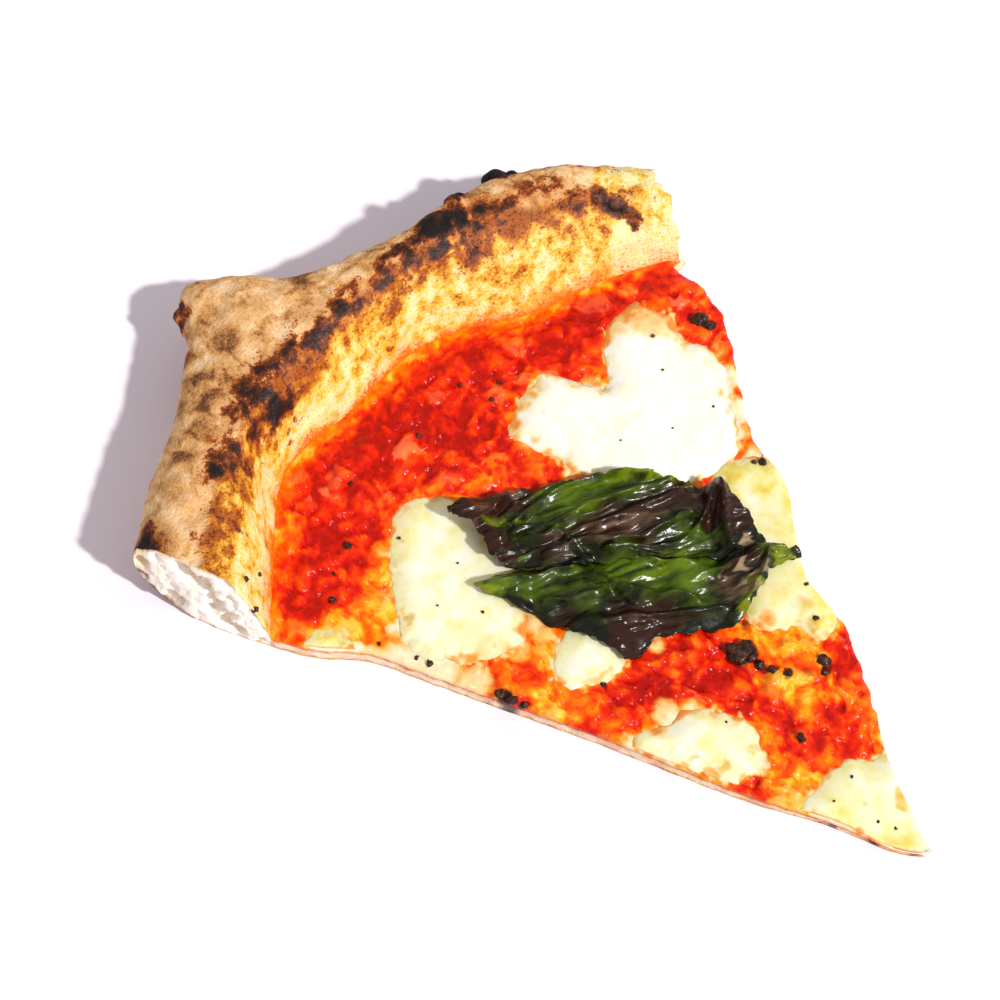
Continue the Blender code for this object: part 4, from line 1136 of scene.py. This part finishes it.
# Creases as (height, width, points along the line); pillows have a soft top.
LOWER_CREASES = (
    (1.3, 1.0, ((-22, 94), (-18, 91.5), (-14, 89), (-9, 87), (-4, 84))),
    (1.6, 1.1, ((-3, 86), (-2.6, 80), (-1.6, 75), (0.6, 70.5), (4, 67), (7, 63))),
    (1.2, 1.0, ((0, 84), (3, 80), (6, 76), (9, 72.5), (12, 70))),
    (1.2, 0.9, ((8, 57), (12, 57), (17, 58), (22, 60), (25, 62))),
    (0.9, 0.8, ((-15, 84), (-11, 80), (-7, 78), (-3, 78))),
    (1.0, 0.9, ((-3, 68), (1, 65), (6, 61), (10, 58.5))),
    (1.1, 0.9, ((12, 66), (16, 64), (20, 62.5), (24, 62))),
    (1.2, 0.9, ((20, 64), (23, 62), (26, 59), (28, 57))),
    (0.9, 0.8, ((-12, 74), (-8, 72), (-4, 69), (-1, 66))),
)
LOWER_PILLOWS = (
    (-12, 84, 6.0, 1.2), (-7.5, 79.5, 6.0, 1.3), (2.5, 76, 6.5, 1.5), (9.0, 68.5, 6.0, 1.6),
    (14, 67, 5.0, 0.9), (4.0, 66.0, 4.5, 0.6), (-7, 69, 5.0, 0.8), (11, 60.5, 4.5, 0.6), (22, 62, 5.0, 1.0),
)
UPPER_CREASES = (
    (0.8, 0.9, ((-9, 101), (-3, 101.2), (2, 101), (7, 100), (11, 98.5))),
    (1.2, 0.9, ((-12, 98), (-5, 98.8), (2, 98.4), (9, 97.4), (14, 94.5), (20, 88.5), (24, 84.5))),
    (1.4, 1.0, ((-9, 94.5), (-6, 92.6), (0, 92), (6, 91), (12, 88.6), (18, 86.4), (25, 83))),
    (1.0, 0.8, ((-4, 89.5), (2, 88.5), (6, 86.6), (11, 85.2), (16, 84.2), (24, 82))),
    (1.5, 1.1, ((-9, 90), (-4, 88.5), (0, 86.0), (5, 82.6), (9, 79.4), (14, 77.6), (20, 77))),
    (1.1, 0.8, ((0, 84.3), (4, 80.8), (8, 77.2), (12, 74.4), (16, 74))),
    (1.4, 1.1, ((18, 66), (21, 70), (24, 73.5), (27, 77), (29, 80))),
    (1.2, 1.0, ((16, 74), (20, 75), (24, 77), (27, 79.5))),
    (1.0, 0.9, ((-16, 104), (-12, 103), (-8, 103.5), (-3, 105), (1, 103.5))),
    (1.1, 0.9, ((-17, 99), (-13, 97.5), (-9, 97.5))),
)
UPPER_PILLOWS = (
    (4.0, 95.2, 6.0, 0.8), (9.0, 92.5, 6.0, 0.9), (15, 89, 5.0, 0.7), (27, 75, 5.5, 1.8), (24.5, 70, 5.0, 1.4),
    (-13, 106, 4.5, 1.0), (-7, 105.5, 4.0, 0.8), (-13, 98, 4.5, 0.8), (19, 80, 5.5, 0.9), (12, 80.5, 4.5, 0.7),
)
# Where the blade is bright green, purple-black, pale or olive, and where a painted sheen stands for the sky's
# reflection, as (x, y, radius, strength).
LEAF_MARKS = {
    "bright": (
        (5, 95, 9, 0.85), (-3, 96, 6, 0.6), (12, 91.5, 7, 0.75), (17, 88.5, 5, 0.55), (4, 90, 6, 0.35),
        (-12.5, 86, 6, 0.6), (-7, 80, 7, 0.45), (1, 77.5, 7, 0.95), (3, 73, 6.5, 0.85), (9, 69, 7, 0.85),
        (14, 70, 6, 0.7), (17, 73, 5, 0.6), (24, 61, 5, 0.5), (23, 85.5, 4, 0.7), (20, 89, 4, 0.9), (15, 94, 5, 0.9),
        (-18, 92, 4.4, 1.1), (-13, 92, 4.4, 0.8), (-20.5, 93.6, 3.5, 1.3), (16, 78, 5, 0.25), (8, 64, 4, 0.5),
        (0, 100, 6, 0.4), (8, 98.4, 5, 0.5)),
    "purple": (
        (-12, 106, 9, 1.0), (-5, 104.5, 7, 0.9), (2, 103.6, 5, 0.7), (-15, 100, 6, 0.9), (-14, 96, 5, 0.8),
        (-6, 69, 8, 1.0), (-11, 66.5, 6, 1.0), (-1, 65.5, 6, 0.7), (27, 76, 8, 1.0), (24, 70, 7, 0.9),
        (28, 68, 5, 0.7), (20, 62, 5, 0.6), (8, 85.5, 7, 0.9), (15, 83, 6, 0.7), (2, 87.6, 5, 0.7), (-6, 90, 5, 0.6),
        (-14, 78, 4, 0.7), (22, 81, 6, 0.8), (28, 80, 5, 0.9), (17, 62, 5, 0.6), (27, 58.5, 3, 0.5), (7, 80, 5, 0.5)),
    "painted_sheen": (
        (2, 86, 6, 0.8), (8, 83, 6, 0.9), (-3, 89, 5, 0.8), (14, 81, 5, 0.7), (5, 88.5, 5, 0.6),
        (-11, 104.5, 5, 0.8), (-4, 90.5, 4, 0.6), (4, 91.6, 4, 0.4), (4, 84.5, 5, 0.6), (9, 80, 5, 0.6),
        (12.5, 60.5, 6, 1.0), (-1.5, 69, 4, 0.6), (-9.5, 71, 3.0, 0.4), (0, 62.5, 3, 0.4), (19, 77, 4, 0.4),
        (-13, 81, 3, 0.5)),
    "pale": ((21.5, 65.4, 2.5, 1.0), (18.2, 62.0, 2.3, 0.8), (15, 63.5, 1.8, 0.5), (-3, 105.5, 3.4, 0.5),
             (16, 58.6, 2.6, 0.6), (20, 58.8, 2.4, 0.6)),
    "olive": (
        (14, 97, 4, 0.9), (17, 93.5, 4, 0.9), (20, 90, 4, 0.9), (23, 86.5, 4, 0.9), (25.5, 83.5, 3.5, 0.8),
        (-8, 100.5, 3.5, 0.6), (-19, 94.8, 3.5, 1.0), (-20.8, 93, 3, 0.9), (9, 73.5, 3, 0.5), (12.5, 57.6, 3.5, 0.8),
        (17.5, 57.8, 3, 0.7), (24, 58.5, 3, 0.7)),
}


def along_blade(x, y, shorten):
    """Points turned to lie along and across the leaf, shortened along it, so that noise makes strokes."""
    lengthways, crossways = ALONG[0] * x + ALONG[1] * y, ALONG[0] * y - ALONG[1] * x
    return np.stack([lengthways * shorten, crossways, 0 * x], -1)


def leaf_masks(x, y, folds):
    """The leaf's marks, with their borders drawn out into strokes, lighter veins, painted shade in the valleys and a
    painted sheen.
    """
    stroke = STROKE * fractal(along_blade(x, y, 0.12), 2.6, 3, seed=113)
    bend = 0.6 * fractal(np.stack([x, y, 0 * x], -1), 3.0, 3, seed=111)
    sx, sy = x + ALONG[0] * stroke + bend, y + ALONG[1] * stroke - bend
    masks = {n: blob(sx, sy, marks) for n, marks in LEAF_MARKS.items()}
    veins = fractal(along_blade(x, y, 0.16), 2.0, 3, seed=117)
    # The green is painted darker where the folds sink: painted shade in the valleys.
    masks["bright"] = np.clip(0.14 + masks["bright"] * (0.66 + 0.5 * veins) + 0.14 * veins
                              - 0.4 * ease((0.7 - folds) / 0.8), 0, 1)
    masks["purple"] = np.clip(masks["purple"] * (0.95 + 0.5 * veins), 0, 1)
    # The sheen is a painted reflection of the sky, weaker along the veins.
    masks["painted_sheen"] = np.clip(masks["painted_sheen"] * (0.8 - 0.9 * veins), 0, 1)
    return masks


def creased(x, y, creases, pillows):
    """Height of the folds: a round ridge along each crease's line, and a soft dome at each pillow."""
    p = np.stack([x, y, 0 * x], -1)
    bx, by = x + 0.7 * noise(p, 5.0, 101), y + 0.7 * noise(p, 5.0, 102)
    total = np.zeros_like(x)
    for height, width, points in creases:
        slope = smooth_through(points, bx + 0.5) - smooth_through(points, bx - 0.5)
        away = np.abs(by - smooth_through(points, bx)) / np.sqrt(1 + slope ** 2)
        ends = ease((bx - points[0][0] + 1.0) / 3.0) * ease((points[-1][0] + 1.0 - bx) / 3.0)
        total = np.maximum(total, CREASE_HEIGHT * height * ends / (1 + (away / width / CREASE_SPREAD) ** 2) ** 1.5)
    for px, py, radius, height in pillows:
        total = total + height * ease(1.2 * (1 - np.hypot(bx - px, by - py) / radius))
    return total + CRINKLE * ridged(along_blade(bx, by, 0.2), 3.0, 2, seed=105)


def topping_level(x, y):
    """What a leaf drapes on: the sauce, rising smoothly onto the pools of cheese."""
    return sauce_level(x, y) + 0.45 + 1.7 * ease((2.5 - outside_cheese(x, y)) / 4.0)


def lower_leaf_level(x, y):
    """Middle of the lower leaf's thickness."""
    return topping_level(x, y) + 0.35 + creased(x, y, LOWER_CREASES, LOWER_PILLOWS)


def margin(points, t):
    """Point at share t of a smooth line through points, counted by their number."""
    steps = np.linspace(0, 1, len(points))
    px, py = np.array(points, float).T
    return smooth_through(np.stack([steps, px], 1), t), smooth_through(np.stack([steps, py], 1), t)


def leaf_grid(far, near, steps, seed):
    """x, y between two margins that noise makes ragged, with the shares along and across."""
    shares = [np.linspace(0, 1, n + 1) for n in steps]
    t, w = np.meshgrid(*shares, indexing="ij")
    (fx, fy), (nx, ny) = margin(far, t), margin(near, t)
    x, y = fx + (nx - fx) * w, fy + (ny - fy) * w
    p = np.stack([x, y, 0 * x], -1)
    border = np.maximum(ease(1 - 8 * np.minimum(w, 1 - w)), ease(1 - 10 * np.minimum(t, 1 - t)))
    x = x + border * 0.9 * fractal(p, 3.5, 3, seed=seed)
    y = y + border * 0.9 * fractal(p, 3.5, 3, seed=seed + 1)
    return x, y, t, w


def build_leaf(name, node, x, y, middle, folds):
    """One leaf as a thin closed sheet, with the marks that fall on it."""
    p = np.stack([x, y, middle], -1)
    upper = p + np.array([0, 0, 0.5 * LEAF_THICKNESS])
    lower = p - np.array([0, 0, 0.5 * LEAF_THICKNESS])
    points, faces = closed_sheet(lower[::-1], upper[::-1])
    masks = {n: np.tile(v[::-1].ravel(), 2) for n, v in leaf_masks(x, y, folds).items()}
    return make_piece(name, points, faces, basil_finish, [node], masks)


x, y, t, w = leaf_grid(LOWER_LEAF_FAR, LOWER_LEAF_NEAR, (170, 120), 121)
rim_drop = 0.5 * ease(1 - 6 * np.minimum(w, 1 - w))
lower_middle = lower_leaf_level(x, y) - rim_drop
folds = creased(x, y, LOWER_CREASES, LOWER_PILLOWS)
build_leaf("basil_lower_part", "basil_leaf_lower", x, y, lower_middle, folds)

x, y, t, w = leaf_grid(UPPER_LEAF_FAR, UPPER_LEAF_NEAR, (180, 120), 131)
folds = creased(x, y, UPPER_CREASES, UPPER_PILLOWS)
over_lower = ease((w - 0.2) / 0.3)
below = topping_level(x, y) + 0.4 + (lower_leaf_level(x, y) + 0.15 - topping_level(x, y)) * over_lower
arch = 1.5 * np.sin(np.pi * np.clip(w, 0, 1)) * np.sin(np.pi * np.clip(t * 1.1, 0, 1))
lift = 3.0 * ease((0.3 - t) / 0.3) * (1 - 0.5 * w)
build_leaf("basil_upper_part", "basil_leaf_upper", x, y, below + arch + lift + folds, folds)

# %% [markdown]
# ## Burnt bits
# The oven leaves carbon on top as well: a bubble of tomato skin that charred, a shred of blackened
# basil, and pepper-sized flecks of burnt flour. Each is a small lump: a ball bent by noise, flattened,
# and set down on whatever lies under it, which a ray from above finds. They are one joined mesh.

# %% Material and mesh: burnt bits
# (x, y, radius, height as a share of it); the big ones are the charred bubbles.
FLECKS = (
    (4.6, 51.2, 2.3, 0.55), (6.4, 49.4, 1.4, 0.5), (5.8, 46.8, 0.9, 0.6), (6.6, 44.4, 0.8, 0.6), (7.9, 41.8, 0.9, 0.6),
    (15.0, 39.3, 1.2, 0.6), (13.6, 37.6, 0.8, 0.6), (0.0, 31.6, 0.8, 0.7), (54.6, 108.6, 1.5, 0.7),
    (55.2, 106.6, 1.2, 0.7), (-56.0, 117.0, 0.7, 0.7), (-54.6, 120.8, 0.5, 0.7), (-50.2, 122.8, 0.4, 0.7),
    (-33.2, 76.0, 0.8, 0.3), (-32.2, 73.6, 1.1, 0.3), (-31.3, 71.2, 0.7, 0.3), (-42.0, 112.0, 0.7, 0.6), (-32.0, 119.0, 0.7, 0.6),
    (-5.0, 128.0, 0.5, 0.7), (15.0, 126.0, 0.5, 0.7), (11.0, 124.0, 0.5, 0.7), (-24.0, 113.0, 0.35, 0.8),
    (-38.0, 89.5, 0.6, 0.7), (-39.0, 92.0, 0.45, 0.7), (-42.0, 99.0, 0.4, 0.7), (-24.0, 90.0, 0.35, 0.5),
    (-18.0, 64.0, 0.5, 0.7), (40.0, 105.0, 0.25, 0.8), (31.5, 94.0, 0.22, 0.8), (44.5, 112.0, 0.4, 0.8),
    (1.0, 20.0, 0.3, 0.7), (-0.5, 8.0, 0.28, 0.7), (-5.0, 19.0, 0.25, 0.7), (-2.0, 11.0, 0.3, 0.7),
    (-7.5, 43.0, 0.22, 0.7), (38.5, 76.5, 0.9, 0.6), (37.4, 77.8, 0.5, 0.6), (22.0, 99.0, 0.2, 0.8),
    (41.0, 92.0, 0.25, 0.8), (-20.0, 101.0, 0.22, 0.8), (-29.0, 97.0, 0.24, 0.8), (9.0, 131.0, 0.4, 0.7),
    (-22.0, 129.0, 0.45, 0.6), (-38.0, 116.0, 0.4, 0.6), (20.0, 46.0, 0.5, 0.6), (24.0, 52.0, 0.4, 0.6),
)
FLECK_ROWS, FLECK_COLUMNS = 10, 14


def charred_bits():
    """Carbon: black-brown and dull, with a little tar that shines."""
    material, tree, place = new_material("charred_bits")
    # Char crackles at a third of a millimetre.
    crackle = add_node(tree, "ShaderNodeTexNoise", {"Vector": place, "Scale": per_metre(0.8), "Detail": 3.0})
    paint = add_node(tree, "ShaderNodeValToRGB", {"Fac": crackle}, stops=(
        (0.35, "#180C08"), (0.55, "#3A1E14"), (0.72, "#6A3C20")))
    relief = add_node(tree, "ShaderNodeBump", {"Height": crackle, "Distance": 0.3 * MM, "Strength": 0.8})
    shader = add_node(tree, "ShaderNodeBsdfPrincipled", {
        "Base Color": paint, "Roughness": 0.5, "Normal": relief, "Specular IOR Level": 0.2,
        "Coat Weight": 0.2, "Coat Roughness": 0.15})
    return finish_material(material, shader)


def topmost(x, y):
    """Height in millimetres of the highest piece under a point, by a ray straight down."""
    start = Vector(((x + APEX[0]) * MM, (y + APEX[1]) * MM, 0.1))
    hits = [tree.ray_cast(start, Vector((0, 0, -1)))[0] for tree in surfaces]
    return max(hit.z for hit in hits if hit) / MM


def build_flecks():
    """Every lump as a grid from pole to pole, all in one array, then welded and joined."""
    marks = np.array(FLECKS)
    turn = np.linspace(0, 2 * np.pi, FLECK_COLUMNS + 1)[None, None, :]
    fall = np.linspace(0, np.pi, FLECK_ROWS + 1)[None, :, None]
    ball = np.stack(np.broadcast_arrays(np.sin(fall) * np.cos(turn), np.sin(fall) * np.sin(turn), np.cos(fall)), -1)
    number = np.arange(len(marks))[:, None, None, None]
    lumpy = ball * (1 + 0.7 * fractal(ball + number * 7.3, 1.2, 2, seed=141)[..., None])
    radius, flat = marks[:, 2][:, None, None], marks[:, 3][:, None, None]
    level = np.array([topmost(x, y) for x, y in marks[:, :2]])[:, None, None]
    x, y = marks[:, 0][:, None, None] + radius * lumpy[..., 0], marks[:, 1][:, None, None] + radius * lumpy[..., 1]
    points = np.stack([x, y, level + 0.3 * radius * flat + radius * flat * lumpy[..., 2]], -1)
    index = np.arange(points[..., 0].size).reshape(points.shape[:3])
    quads = np.stack([index[:, :-1, :-1], index[:, 1:, :-1], index[:, 1:, 1:], index[:, :-1, 1:]], -1).reshape(-1, 4)
    points, quads, _ = weld(points.reshape(-1, 3), quads, {})
    return make_piece("burnt_flecks", points, without_doubles(quads), charred_bits(), None, {})


bpy.context.view_layer.update()
graph = bpy.context.evaluated_depsgraph_get()
surfaces = [BVHTree.FromObject(piece, graph) for piece in pieces]
build_flecks()

# %% [markdown]
# ## Camera
# The camera stands in front and to the left, high above the table, and looks a little past the middle of
# the slice. An 85 mm lens from 45 cm away keeps the wedge nearly undistorted. Azimuth is counted from the
# front, and elevation from the table.

# %% Camera
AZIMUTH, ELEVATION, DISTANCE = -44.0, 58.0, 0.455
LOOK_AT = Vector((-6.63 * MM, 15.08 * MM, 5.0 * MM))
azimuth, elevation = np.radians(AZIMUTH), np.radians(ELEVATION)
towards = Vector((np.sin(azimuth) * np.cos(elevation), -np.cos(azimuth) * np.cos(elevation), np.sin(elevation)))
lens = bpy.data.cameras.new("camera")
lens.lens = 85.0
lens.sensor_width = 36.0
lens.clip_start = 0.01
camera = bpy.data.objects.new("camera", lens)
camera.location = LOOK_AT + towards * DISTANCE
camera.rotation_euler = towards.to_track_quat("Z", "Y").to_euler()
bpy.context.scene.collection.objects.link(camera)
bpy.context.scene.camera = camera
print("camera at", [round(v, 3) for v in camera.location])

# %% [markdown]
# ## Light
# One low, warm sun from the front throws the shadow behind the crust, and its angle of three degrees
# keeps the shadow's edge a little soft. A pale, even sky fills the shadows.

# %% Light
SUN_STRENGTH, SUN_COLOUR, SUN_ANGLE = 3.6, (1.0, 0.965, 0.9), 3.0
SUN_DIRECTION = Vector((-0.12, 1.08, -1.0))
SKY_STRENGTH, SKY_COLOUR = 0.55, (1.0, 0.965, 0.96, 1.0)
sun = bpy.data.lights.new("sun", "SUN")
sun.energy = SUN_STRENGTH
sun.color = SUN_COLOUR
sun.angle = np.radians(SUN_ANGLE)
lamp = bpy.data.objects.new("sun", sun)
lamp.rotation_euler = SUN_DIRECTION.to_track_quat("-Z", "Y").to_euler()
bpy.context.scene.collection.objects.link(lamp)
sky = bpy.data.worlds.new("sky")
sky.use_nodes = True
background = sky.node_tree.nodes["Background"]
background.inputs["Color"].default_value = SKY_COLOUR
background.inputs["Strength"].default_value = SKY_STRENGTH
bpy.context.scene.world = sky
bpy.context.scene.view_settings.view_transform = "Standard"
steepness = np.degrees(np.arctan2(-SUN_DIRECTION.z, np.hypot(SUN_DIRECTION.x, SUN_DIRECTION.y)))
print("sun:", round(float(steepness)), "degrees above the table")

# %% [markdown]
# ## Table
# A plain, matt, pale surface, large enough to fill the view. It belongs to the stage, not to the food.

# %% Table
TABLE_HALF = 2.0
TABLE_COLOUR = (0.87, 0.81, 0.92, 1.0)
mesh = bpy.data.meshes.new("table")
corners = [(-TABLE_HALF, -TABLE_HALF, 0), (TABLE_HALF, -TABLE_HALF, 0), (TABLE_HALF, TABLE_HALF, 0),
           (-TABLE_HALF, TABLE_HALF, 0)]
mesh.from_pydata(corners, [], [(0, 1, 2, 3)])
table = bpy.data.objects.new("table", mesh)
bpy.context.scene.collection.objects.link(table)
table_finish, tree, _ = new_material("table_top")
finish_material(table_finish, add_node(tree, "ShaderNodeBsdfPrincipled", {
    "Base Color": TABLE_COLOUR, "Roughness": 0.9}))
mesh.materials.append(table_finish)
print("table:", 2 * TABLE_HALF, "m wide")
